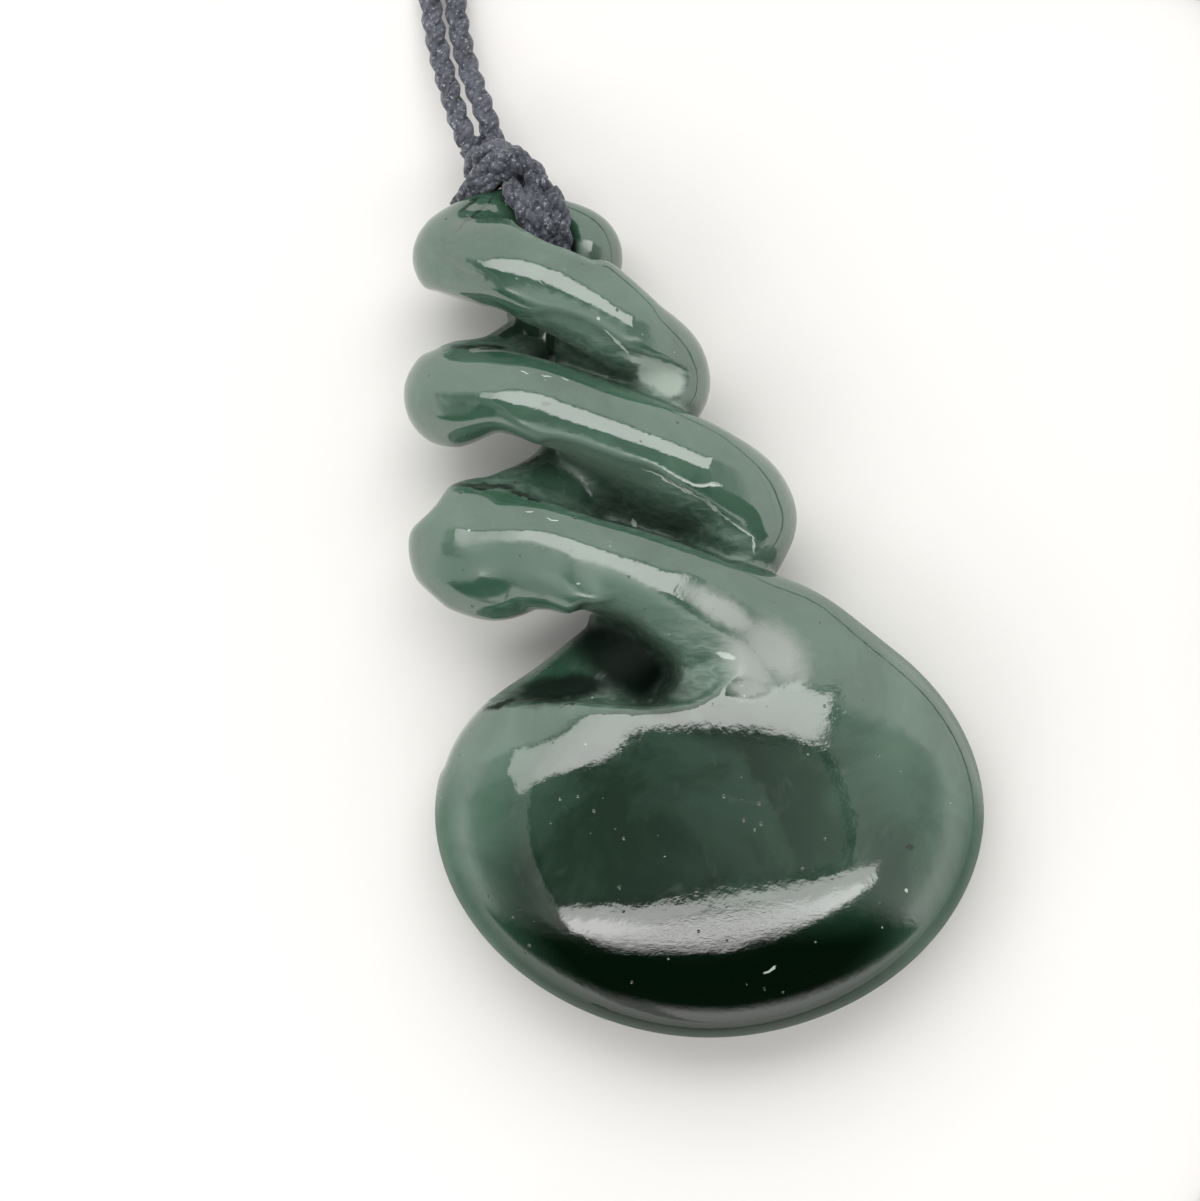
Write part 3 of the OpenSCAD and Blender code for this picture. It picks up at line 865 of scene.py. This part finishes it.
class Wire:
    """A value in a material's maths. Its operators add Math nodes."""

    def __init__(self, paint, socket):
        self.paint = paint
        self.socket = socket

    def join(self, operation, *others):
        """A Math node on this value and others."""
        node = self.paint.tree.nodes.new("ShaderNodeMath")
        node.operation = operation
        for slot, value in zip(node.inputs, (self, *others)):
            self.paint.put(slot, value)
        return Wire(self.paint, node.outputs[0])

    def __add__(self, other):
        return self.join("ADD", other)

    __radd__ = __add__

    def __mul__(self, other):
        return self.join("MULTIPLY", other)

    __rmul__ = __mul__

    def __sub__(self, other):
        return self.join("SUBTRACT", other)

    def __rsub__(self, other):
        return self.join("MULTIPLY", -1.0).join("ADD", other)

    def __truediv__(self, other):
        return self.join("DIVIDE", other)

    def __pow__(self, other):
        return self.join("POWER", other)

    def over(self, other):
        """The larger of two values."""
        return self.join("MAXIMUM", other)

    def under(self, other):
        """The smaller of two values."""
        return self.join("MINIMUM", other)

    def rise(self, low, high):
        """0 below low, 1 above high and smooth between. With low above high it falls."""
        node = self.paint.tree.nodes.new("ShaderNodeMapRange")
        node.interpolation_type = "SMOOTHSTEP"
        settings = {
            "Value": self,
            "From Min": min(low, high),
            "From Max": max(low, high),
            "To Min": 0 if low < high else 1,
            "To Max": 1 if low < high else 0,
        }
        for name, value in settings.items():
            self.paint.put(node.inputs[name], value)
        return Wire(self.paint, node.outputs["Result"])


class Paint:
    """The node tree of a material or a world."""

    def __init__(self, owner):
        owner.use_nodes = True
        self.tree = owner.node_tree
        self.tree.nodes.clear()

    def put(self, slot, value):
        """Links or sets one socket."""
        if isinstance(value, Wire):
            self.tree.links.new(value.socket, slot)
        elif isinstance(value, (int, float)):
            slot.default_value = value
        else:
            slot.default_value = tuple(value) + (1.0,) * (len(slot.default_value) - len(value))

    def node(self, kind, settings=None, output=0, **values):
        """Any node, from its type, its settings and what its sockets take, by name or, as _0, by number."""
        node = self.tree.nodes.new(kind)
        for name, value in (settings or {}).items():
            setattr(node, name, value)
        for name, value in values.items():
            slot = int(name[1:]) if name[1:].isdigit() else name.replace("_", " ")
            self.put(node.inputs[slot], value)
        return Wire(self, node.outputs[output])

    def mix(self, share, a, b):
        """One colour laid over another."""
        return self.node("ShaderNodeMix", {"data_type": "RGBA"}, 2, _0=share, _6=a, _7=b)

    def vector(self, operation, *vectors, output=0, **values):
        """Vector maths."""
        slots = {f"_{k}": vector for k, vector in enumerate(vectors)}
        return self.node("ShaderNodeVectorMath", {"operation": operation}, output, **slots, **values)

    def parts(self, vector):
        """A vector's three numbers."""
        node = self.tree.nodes.new("ShaderNodeSeparateXYZ")
        self.put(node.inputs[0], vector)
        return [Wire(self, o) for o in node.outputs]

    def place(self, name="Object"):
        """Where a point is on the object or, in a world, which way it lies."""
        node = self.tree.nodes.new("ShaderNodeTexCoord")
        return Wire(self, node.outputs[name])

    def noise(self, where, scale, detail=3.0, rough=0.55, lumpy=0.0):
        """Even cloudy noise, from 0 to 1, with scale in lumps per metre."""
        return self.node(
            "ShaderNodeTexNoise",
            {"noise_dimensions": "3D"},
            Vector=where,
            Scale=scale,
            Detail=detail,
            Roughness=rough,
            Distortion=lumpy,
        )

    def spots(self, where, scale):
        """Distance to the nearest of scattered points."""
        return self.node("ShaderNodeTexVoronoi", {"voronoi_dimensions": "3D"}, Vector=where, Scale=scale)

    def surface(self, shader, kind="ShaderNodeOutputMaterial"):
        """Ends the tree in its output."""
        node = self.tree.nodes.new(kind)
        self.tree.links.new(shader.socket, node.inputs["Surface"])


def marks(paint, where, table, soft=0.45):
    """1 on the marks of a table, seen from the front, and 0 off them."""
    total = None
    for x, y, long, wide, turn in table:
        inside = paint.node(
            "ShaderNodeMapping",
            {"vector_type": "TEXTURE"},
            Vector=where,
            Location=(x * MM, y * MM, 0),
            Rotation=(0, 0, math.radians(turn)),
            Scale=(long * MM, wide * MM, 1),
        )
        share = paint.vector("LENGTH", inside, output=1).rise(1.2, 1.2 - soft)
        total = share if total is None else total.over(share)
    return total


def stone_material(colours):
    """Polished dark green stone, cloudy, pitted and chipped, with brushed walls in its grooves. Shade is
    painted into its hollows, creases and foot, and glints and reflections into some of its marks.
    """
    material = bpy.data.materials.new("Polished green stone")
    paint = Paint(material)
    where = paint.place()
    x, y, z = paint.parts(where)
    cloud = paint.noise(where, 130, 4.0, 0.6, 0.6)
    veil = paint.noise(where, 330, 3.0, 0.5, 1.2)
    fine = paint.noise(where, 1500, 3.0, 0.6)
    hollow = paint.node("ShaderNodeAttribute", {"attribute_name": "hollow"}, 2)
    carved = paint.node("ShaderNodeAttribute", {"attribute_name": "carved"}, 2)
    # Seen from the front, with a slight waver so that no mark has a smooth edge
    warp = paint.node("ShaderNodeTexNoise", {}, 1, Vector=where, Scale=1400.0, Detail=3.0)
    warp = paint.vector("SCALE", paint.vector("SUBTRACT", warp, (0.5, 0.5, 0.5)), Scale=0.0006)
    flat = paint.vector("MULTIPLY", paint.vector("ADD", where, warp), (1, 1, 0))

    # Pale green in the strands and the body's rim and dark in the body's middle. The body's foot is painted
    # near black, as painted shade
    across = (x - DARK_MID[0] * MM) * (1 / (DARK_REACH[0] * MM))
    along = (y - DARK_MID[1] * MM) * (1 / (DARK_REACH[1] * MM))
    # Where the painted shade on the body's foot lies
    low = y.rise(-0.0185, -0.0225)
    inner = (across * across + along * along).rise(1.15, 0.55)
    inner = inner * (1 - x.rise(0.002, 0.011) * (1 - low) * 0.4)
    light = paint.mix(cloud.rise(0.35, 0.7), colours.strand_deep, colours.strand_pale)
    light = paint.mix(x.rise(-0.004, 0.012) * y.rise(-0.004, 0.004) * 0.6, light, colours.strand_pale)
    dark = paint.mix(cloud.rise(0.42, 0.66), colours.body_deep, colours.body_pale)
    dark = paint.mix(low, dark, colours.body_shaded_foot)
    colour = paint.mix(inner, light, dark)
    colour = paint.mix(veil.rise(0.6, 0.8) * (1 - low) * 0.35, colour, colours.stone_veil)

    # Brushed walls, painted paler to stand in for the light on them, dull flanks, and painted shade in deep
    # hollows
    # Brushed marks, painted paler as well to stand in for light on the shaded walls
    brushed = paint.noise(paint.vector("MULTIPLY", where, (0.5, 1.6, 0.9)), 1400, 3.0, 0.6, 0.8)
    brushed_and_lit = paint.mix(brushed.rise(0.35, 0.7), colours.wall_deep, colours.wall_pale)
    colour = paint.mix(carved * 0.85, colour, brushed_and_lit)
    shade = marks(paint, flat, DEEP, 0.7)
    dull = marks(paint, flat, DULL, 0.7)
    colour = paint.mix(dull * 0.75, colour, colours.strand_pale)
    # Painted shade: hollows and the third groove's deepest part are painted near black
    colour = paint.mix((hollow.rise(0.5, 0.95) * 0.3).over(shade * 0.95), colour, colours.hollow)

    # Pits, dust, chips and painted glints, painted shade in creases, worn polish, and frosted flats painted
    # pale with a reflection
    pits = paint.spots(where, 900).rise(0.13, 0.05) * paint.noise(where, 260).rise(0.5, 0.62)
    dust = paint.spots(where, 650).rise(0.07, 0.03) * paint.noise(where, 180).rise(0.52, 0.6)
    frost = marks(paint, flat, FROSTED)
    chips_and_glints = marks(paint, flat, PALE_MARKS)
    creases = marks(paint, flat, DARK_MARKS)
    worn = marks(paint, flat, WORN, 0.85)
    colour = paint.mix(pits * 0.85, colour, colours.hollow)
    # Painted shade in creases and painted reflections of the cord, with dark pits and hairlines
    colour = paint.mix(creases * 0.85, colour, colours.hollow)
    colour = paint.mix(worn * 0.9, colour, colours.worn)
    # Frosted flats, painted paler still as a painted reflection
    colour = paint.mix(frost, colour, colours.frost)
    # Painted glints and highlights take the chips' pale colour
    colour = paint.mix((chips_and_glints * 0.8).over(dust * 0.35), colour, colours.chip)

    # How rough each of them is, and what stands out or sinks in
    rough = 0.045 + fine * 0.04 + carved * 0.42 + frost * 0.45
    rough = rough + chips_and_glints * 0.3 + pits * 0.3 + worn * 0.3 + dull * 0.4
    scuffs = paint.noise(paint.vector("MULTIPLY", where, (0.6, 1.5, 1.0)), 2600, 4.0, 0.7)
    relief = veil * 0.7 + fine * 0.3 - pits * 1.5 + carved * brushed * 2.0
    relief = relief + scuffs * marks(paint, where, SCUFFED, 0.9) * 0.8
    bump = paint.node("ShaderNodeBump", {}, Strength=1.0, Distance=0.00002, Height=relief)

    # Polished stone, and matt stone in the hollows, on frosted flats and round the body's edge
    looks = {"Base_Color": colour, "Normal": bump}
    polished = paint.node("ShaderNodeBsdfPrincipled", {}, Roughness=rough, IOR=2.1, **looks)
    matt = paint.node("ShaderNodeBsdfPrincipled", {}, Roughness=0.6, IOR=1.3, **looks)
    foot = z.rise(0.0102, 0.0086) * y.rise(-0.009, -0.015)
    edge = (z.rise(0.0088, 0.0066) * x.rise(0.004, 0.009) * 0.8).over(foot)
    share = (hollow.rise(0.4, 0.9) * 0.4).over(frost * 0.6).over(shade).over(edge * 0.92)
    paint.surface(paint.node("ShaderNodeMixShader", {}, _0=share, _1=polished, _2=matt))
    return material


def cord_material(colours):
    """Waxed dark blue plaited cord, with fine fibres along each strand."""
    material = bpy.data.materials.new("Waxed navy plait")
    paint = Paint(material)
    where = paint.place()
    uv = paint.node("ShaderNodeUVMap", {"uv_map": "Plait"})
    along, around, _ = paint.parts(uv)
    twist = (along * 2.2 + around * 3.0) * (2 * math.pi)
    fibres = twist.join("SINE") * 0.5 + 0.5
    lint = paint.noise(where, 4200, 4.0, 0.65)
    wear = paint.noise(where, 700, 3.0, 0.5)
    colour = paint.mix(wear.rise(0.35, 0.75), colours.cord_deep, colours.cord_mid)
    # Pale fibres, and painted sparkle standing for glints on the waxed strands
    colour = paint.mix(lint.rise(0.54, 0.72) * 0.9 + fibres * 0.1, colour, colours.cord_pale_and_sparkle)
    bump = paint.node("ShaderNodeBump", {}, Strength=0.7, Distance=0.00006, Height=fibres * 0.6 + lint)
    shader = paint.node(
        "ShaderNodeBsdfPrincipled",
        {},
        Base_Color=colour,
        Roughness=0.42 + lint * 0.25,
        Normal=bump,
        IOR=1.5,
        Sheen_Weight=0.25,
        Sheen_Roughness=0.4,
    )
    paint.surface(shader)
    return material


def paper_material(colours):
    """The plain pale sheet that the pendant lies on."""
    material = bpy.data.materials.new("Pale sheet")
    paint = Paint(material)
    where = paint.place()
    grain = paint.noise(where, 60, 3.0)
    colour = paint.mix(grain, colours.sheet, [c * 0.99 for c in colours.sheet])
    paint.surface(paint.node("ShaderNodeBsdfPrincipled", {}, Base_Color=colour, Roughness=0.9, IOR=1.2))
    return material


def measure(name, description, default, **more):
    """A size that can be changed."""
    return bpy.props.FloatProperty(name=name, description=description, default=default, **more)


def tint(name, description, default):
    """A colour that can be changed."""
    return bpy.props.FloatVectorProperty(
        name=name, description=description, default=default, subtype="COLOR", size=3
    )


def spot(name, description, default):
    """A place that can be changed."""
    return bpy.props.FloatVectorProperty(
        name=name, description=description, default=default, subtype="XYZ", size=3, unit="LENGTH"
    )


class PendantStone(bpy.types.PropertyGroup):
    """Sizes of the carved stone, in millimetres."""

    twist_thick: measure("Twist thickness", "Front to back", 13.0)
    body_wide: measure("Body width", "Across the body", 37.4)
    body_long: measure("Body length", "Along the body", 30.6)
    body_thick: measure("Body thickness", "Front to back", 13.1)
    body_square: measure("Body squareness", "2 makes the outline an ellipse", 1.94)
    flow: measure("Flow", "How softly the strand flows into the body", 1.0)
    crease: measure("Crease", "How soft the creases between strands are", 0.5)
    grain: measure("Mesh step", "Size of the stone's mesh", 0.3)


class PendantCord(bpy.types.PropertyGroup):
    """Sizes of the plaited cord, in millimetres."""

    thick: measure("Thickness", "Across the plait", 1.5)
    pitch: measure("Pitch", "Length in which a strand comes back to its side", 4.6)


class PendantColours(bpy.types.PropertyGroup):
    """Colours of the stone, the cord and the sheet."""

    strand_deep: tint("Strand, deep", "Darker green of the twist", (0.028, 0.076, 0.047))
    strand_pale: tint("Strand, pale", "Paler green of the twist", (0.058, 0.122, 0.08))
    body_deep: tint("Body, deep", "Darker green of the body", (0.003, 0.018, 0.008))
    body_pale: tint("Body, pale", "Paler green of the body", (0.018, 0.046, 0.029))
    # Painted shade: the near-black colour of the body's shaded foot
    body_shaded_foot: tint("Body, low", "Darkest green, at the body's foot", (0.0006, 0.005, 0.0012))
    # Painted shade in hollows and creases, and the colour of pits
    hollow: tint("Hollows", "Stone deep in the grooves and in pits", (0.001, 0.006, 0.003))
    # Partly painted reflection: the pale colour of the frosted flats
    frost: tint("Frosted", "Unpolished flats", (0.35, 0.42, 0.36))
    worn: tint("Worn", "Worn polish", (0.27, 0.3, 0.278))
    # Painted glints share this pale colour with chips and specks
    chip: tint("Chips", "Chipped edges and specks", (0.5, 0.58, 0.52))
    stone_veil: tint("Veils", "Pale clouds in the stone", (0.08, 0.12, 0.1))
    # Carved walls are painted paler than bare stone, to stand in for the light on them
    wall_deep: tint("Wall, deep", "Darker marks on carved walls", (0.045, 0.1, 0.068))
    wall_pale: tint("Wall, pale", "Brushed marks on carved walls", (0.14, 0.21, 0.165))
    cord_deep: tint("Cord, deep", "Darkest navy", (0.022, 0.026, 0.038))
    cord_mid: tint("Cord", "Main navy", (0.07, 0.078, 0.102))
    # Pale fibres and painted sparkle
    cord_pale_and_sparkle: tint("Cord, pale", "Worn fibres", (0.4, 0.415, 0.45))
    sheet: tint("Sheet", "The surface", (0.82, 0.807, 0.79))


class PendantStage(bpy.types.PropertyGroup):
    """The studio, in metres and watts."""

    distance: measure("Camera distance", "From camera to stone", 0.46, unit="LENGTH")
    view_wide: measure("View width", "What the frame spans at the stone", 0.08163, unit="LENGTH")
    tent: measure("Tent light", "Strength of the pale surround", 1.0)
    key: measure("Key light", "Power of the main panel", 2.6)
    fill: measure("Fill light", "Power of the side panel", 1.6)
    key_place: spot("Key place", "Where the main panel hangs", (-0.04, 0.45, 0.66))
    fill_place: spot("Fill place", "Where the side panel hangs", (-0.42, -0.38, 0.4))


class BuildCords(bpy.types.Operator):
    """Plaits the neck cord's two runs and its end knot"""

    bl_idname = "pendant.build_cords"
    bl_label = "Neck cord"

    def execute(self, context):
        sizes = context.scene.pendant_cord
        material = cord_material(context.scene.pendant_colours)
        laid = sizes.thick / 2 + LAID_GAP
        runs = {}
        for name, rows in (("cord_left", LEFT_RUN), ("cord_right", RIGHT_RUN)):
            line = curve_through(rows, RUN_STEPS)
            line[:, 2] = np.maximum(line[:, 2], 0) + laid
            run = plait_object(name + "_plait", [(line, sizes.thick * RUN_FULL)], sizes.pitch)
            hand_over(run, material, name)
            runs[name] = (run, line)
        mid = np.array(END_KNOT_MID)
        turn = np.linspace(0, 2 * np.pi, END_POINTS)
        wrap = np.stack([END_LEAN * np.cos(turn), END_WIDE * np.cos(turn), END_HIGH * np.sin(turn)], axis=1)
        loops = [mid + wrap + (along, 0, 0) for along in END_WRAPS]
        loops += [np.array([line[-1], line[-1] * 0.5 + mid * 0.5, mid]) for _, line in runs.values()]
        wraps = [(curve_through(loop, END_STEPS), sizes.thick * END_FULL) for loop in loops]
        end = plait_object("end_knot_wraps", wraps, sizes.pitch)
        hand_over(end, material, "end_knot")
        return {"FINISHED"}


class BuildKnot(bpy.types.Operator):
    """Winds the lashing over the bar and the knot above it"""

    bl_idname = "pendant.build_knot"
    bl_label = "Lashing and knot"

    def execute(self, context):
        sizes = context.scene.pendant_cord
        material = cord_material(context.scene.pendant_colours)
        turns = [(curve_through(turn_points(k), TURN_STEPS), sizes.thick) for k in range(TURNS)]
        lashing = plait_object("lashing_turns", turns, sizes.pitch)
        hand_over(lashing, material, "lashing")
        wraps = [(curve_through(rows, TURN_STEPS), thick * sizes.thick) for thick, rows in KNOT_CORDS]
        knot = plait_object("head_knot_wraps", wraps, sizes.pitch)
        hand_over(knot, material, "head_knot")
        return {"FINISHED"}


class BuildStone(bpy.types.Operator):
    """Carves the stone's twist and body"""

    bl_idname = "pendant.build_stone"
    bl_label = "Stone"

    def execute(self, context):
        sizes = context.scene.pendant_stone
        low, high = np.array(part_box("stone")) / MM
        grid = Grid(low - GRID_MARGIN, high + GRID_MARGIN, sizes.grain)
        field = blur(stone_distance(grid, sizes), 1)
        points, quads = skin(grid, field)
        points = settle(grid, field, points, 3)
        points = relax(points, quads, 6)
        points[:, 2] = np.maximum(points[:, 2], 0)
        stone = mesh_object("stone_carved", points, quads)
        shares = {"carved": carved_share(grid, points), "hollow": hollow_share(grid, field, points)}
        for name, share in shares.items():
            attribute = stone.data.attributes.new(name, "FLOAT", "POINT")
            attribute.data.foreach_set("value", share.astype(np.float32))
        hand_over(stone, stone_material(context.scene.pendant_colours), "stone")
        return {"FINISHED"}


class BuildStage(bpy.types.Operator):
    """Lays the pale sheet, lights it softly and sets the camera"""

    bl_idname = "pendant.build_stage"
    bl_label = "Studio"

    def execute(self, context):
        scene = context.scene
        stage = scene.pendant_stage
        mid = np.array(VIEW_MID) * MM
        camera = bpy.data.cameras.new("Camera")
        camera.sensor_width = SENSOR
        camera.lens = SENSOR * stage.distance / stage.view_wide
        camera.clip_start, camera.clip_end = CLIP
        holder = bpy.data.objects.new("Camera", camera)
        holder.location = (mid[0], mid[1], mid[2] + stage.distance)
        scene.collection.objects.link(holder)
        scene.camera = holder

        half = SHEET_HALF
        corners = [(-half, -half, 0), (half, -half, 0), (half, half, 0), (-half, half, 0)]
        mesh = bpy.data.meshes.new("sheet")
        mesh.from_pydata(corners, [], [(0, 1, 2, 3)])
        mesh.materials.append(paper_material(scene.pendant_colours))
        sheet = bpy.data.objects.new("sheet", mesh)
        sheet.location = (0, 0, -SHEET_DROP)
        scene.collection.objects.link(sheet)

        scene.world = bpy.data.worlds.new("Tent")
        tent_light(scene.world, stage.tent)
        hang_panel("Key panel", KEY_SIZE, stage.key, stage.key_place, mid)
        hang_panel("Fill panel", FILL_SIZE, stage.fill, stage.fill_place, mid)
        scene.view_settings.view_transform = "Standard"
        return {"FINISHED"}


def hang_panel(name, spans, power, place, aim):
    """A soft light panel that faces the pendant and doesn't show in its polish."""
    light = bpy.data.lights.new(name, "AREA")
    light.shape = "RECTANGLE"
    light.size, light.size_y = spans
    light.energy = power
    panel = bpy.data.objects.new(name, light)
    panel.location = place
    panel.rotation_euler = Vector(aim - panel.location).to_track_quat("-Z", "Y").to_euler()
    panel.visible_glossy = False
    bpy.context.scene.collection.objects.link(panel)


def tent_light(world, strength):
    """A pale tent round the stone, as its polish shows it.

    Its ceiling has a dark hood, a pale strip above the hood, a pale band below it and gloom below the band.
    u and v are where a direction meets the ceiling, in heights of the ceiling.
    """
    paint = Paint(world)
    x, y, z = paint.parts(paint.place("Generated"))
    high = z.over(0.02)
    u, v = x / high, y / high
    above = z.rise(0.03, 0.09)
    far = (u * u + v * v) ** 0.5

    # The hood's upper and lower edges, the band's foot and the strip's top
    hood_top = 0.27 - u * u * 0.3
    hood_foot = u * 0.26 - u * u * 0.4 - 0.31
    band_foot = (u * 0.38 - 0.67).over(-0.82)
    strip_top = u.rise(0.3, 0.7) * 0.15 + 0.62
    left = (0.3 - v).over(0.0) * 0.9
    hood = (hood_top - v).under(v - hood_foot).under(u + 0.63).under(0.373 - v * 0.196 - u)
    strip = (v - hood_top).under(strip_top - v).under(u + 0.9 - left).under(v * 0.532 + 0.169 - u)
    band = (hood_foot - v).under(v - band_foot).under(u + 0.62).under(0.62 - u)

    # The tent's own light: dimmer overhead and on the left, brighter behind
    glow = far.rise(0.8, 2.4) * 0.6 + 0.45
    glow = glow * (1 - u.rise(-0.6, -0.9) * u.rise(-2.6, -1.7) * v.rise(0.35, 0.1) * 0.55)
    glow = glow.over(v.rise(0.35, 0.75) * 1.1)
    gloom = (band_foot - v).rise(-0.02, 0.05) * (0.06 - u * 0.82 - v).rise(-0.05, 0.25)
    gloom = gloom * (u * 0.62 - 0.2 - v).rise(-0.25, 0.45) * v.rise(-5.0, -2.5)
    glow = glow * (1 - gloom * 0.99)

    # A dark line round the strip, the hood's faint light and the band's bright core
    line = strip.rise(-0.05, -0.03) * strip.rise(0.0, -0.02) * (v - hood_top).rise(0.1, 0.2)
    glow = glow * (1 - line * 0.8)
    dim = (u.rise(-0.3, 0.5) * 0.22 + 0.1) * hood.rise(0.01, 0.06) + 0.01
    lit = 3.1 - u.rise(-0.25, -0.8) * 1.2
    core = (hood_foot - 0.07 - v).rise(0.0, 0.05) * (hood_foot - 0.2 - v).rise(0.06, 0.0)
    for share, bright in ((hood, dim), (strip, lit), (band, core * 1.7 + 2.5)):
        inside = share.rise(-0.012, 0.012) * above
        glow = glow * (1 - inside) + inside * bright
    shader = paint.node("ShaderNodeBackground", {}, Color=(1.0, 0.99, 0.975), Strength=glow * strength)
    paint.surface(shader, "ShaderNodeOutputWorld")


class PendantPanel(bpy.types.Panel):
    """Lists the pendant's pieces"""

    bl_idname = "VIEW3D_PT_pendant"
    bl_label = "Pendant"
    bl_space_type = "VIEW_3D"
    bl_region_type = "UI"
    bl_category = "Pendant"

    def draw(self, context):
        for name in GROUPS:
            group = getattr(context.scene, name)
            box = self.layout.box()
            for setting in group.__annotations__:
                box.prop(group, setting)
        for maker in MAKERS:
            self.layout.operator(maker.bl_idname)


GROUPS = {
    "pendant_stone": PendantStone,
    "pendant_cord": PendantCord,
    "pendant_colours": PendantColours,
    "pendant_stage": PendantStage,
}
MAKERS = (BuildStage, BuildCords, BuildKnot, BuildStone)
CLASSES = (*GROUPS.values(), *MAKERS, PendantPanel)


def register():
    for kind in CLASSES:
        bpy.utils.register_class(kind)
    for name, kind in GROUPS.items():
        setattr(bpy.types.Scene, name, bpy.props.PointerProperty(type=kind))


def unregister():
    for name in GROUPS:
        delattr(bpy.types.Scene, name)
    for kind in reversed(CLASSES):
        bpy.utils.unregister_class(kind)


def main():
    """Builds every piece around the frame."""
    register()
    bpy.ops.pendant.build_stage()
    bpy.ops.pendant.build_cords()
    bpy.ops.pendant.build_knot()
    bpy.ops.pendant.build_stone()


if __name__ == "__main__":
    main()
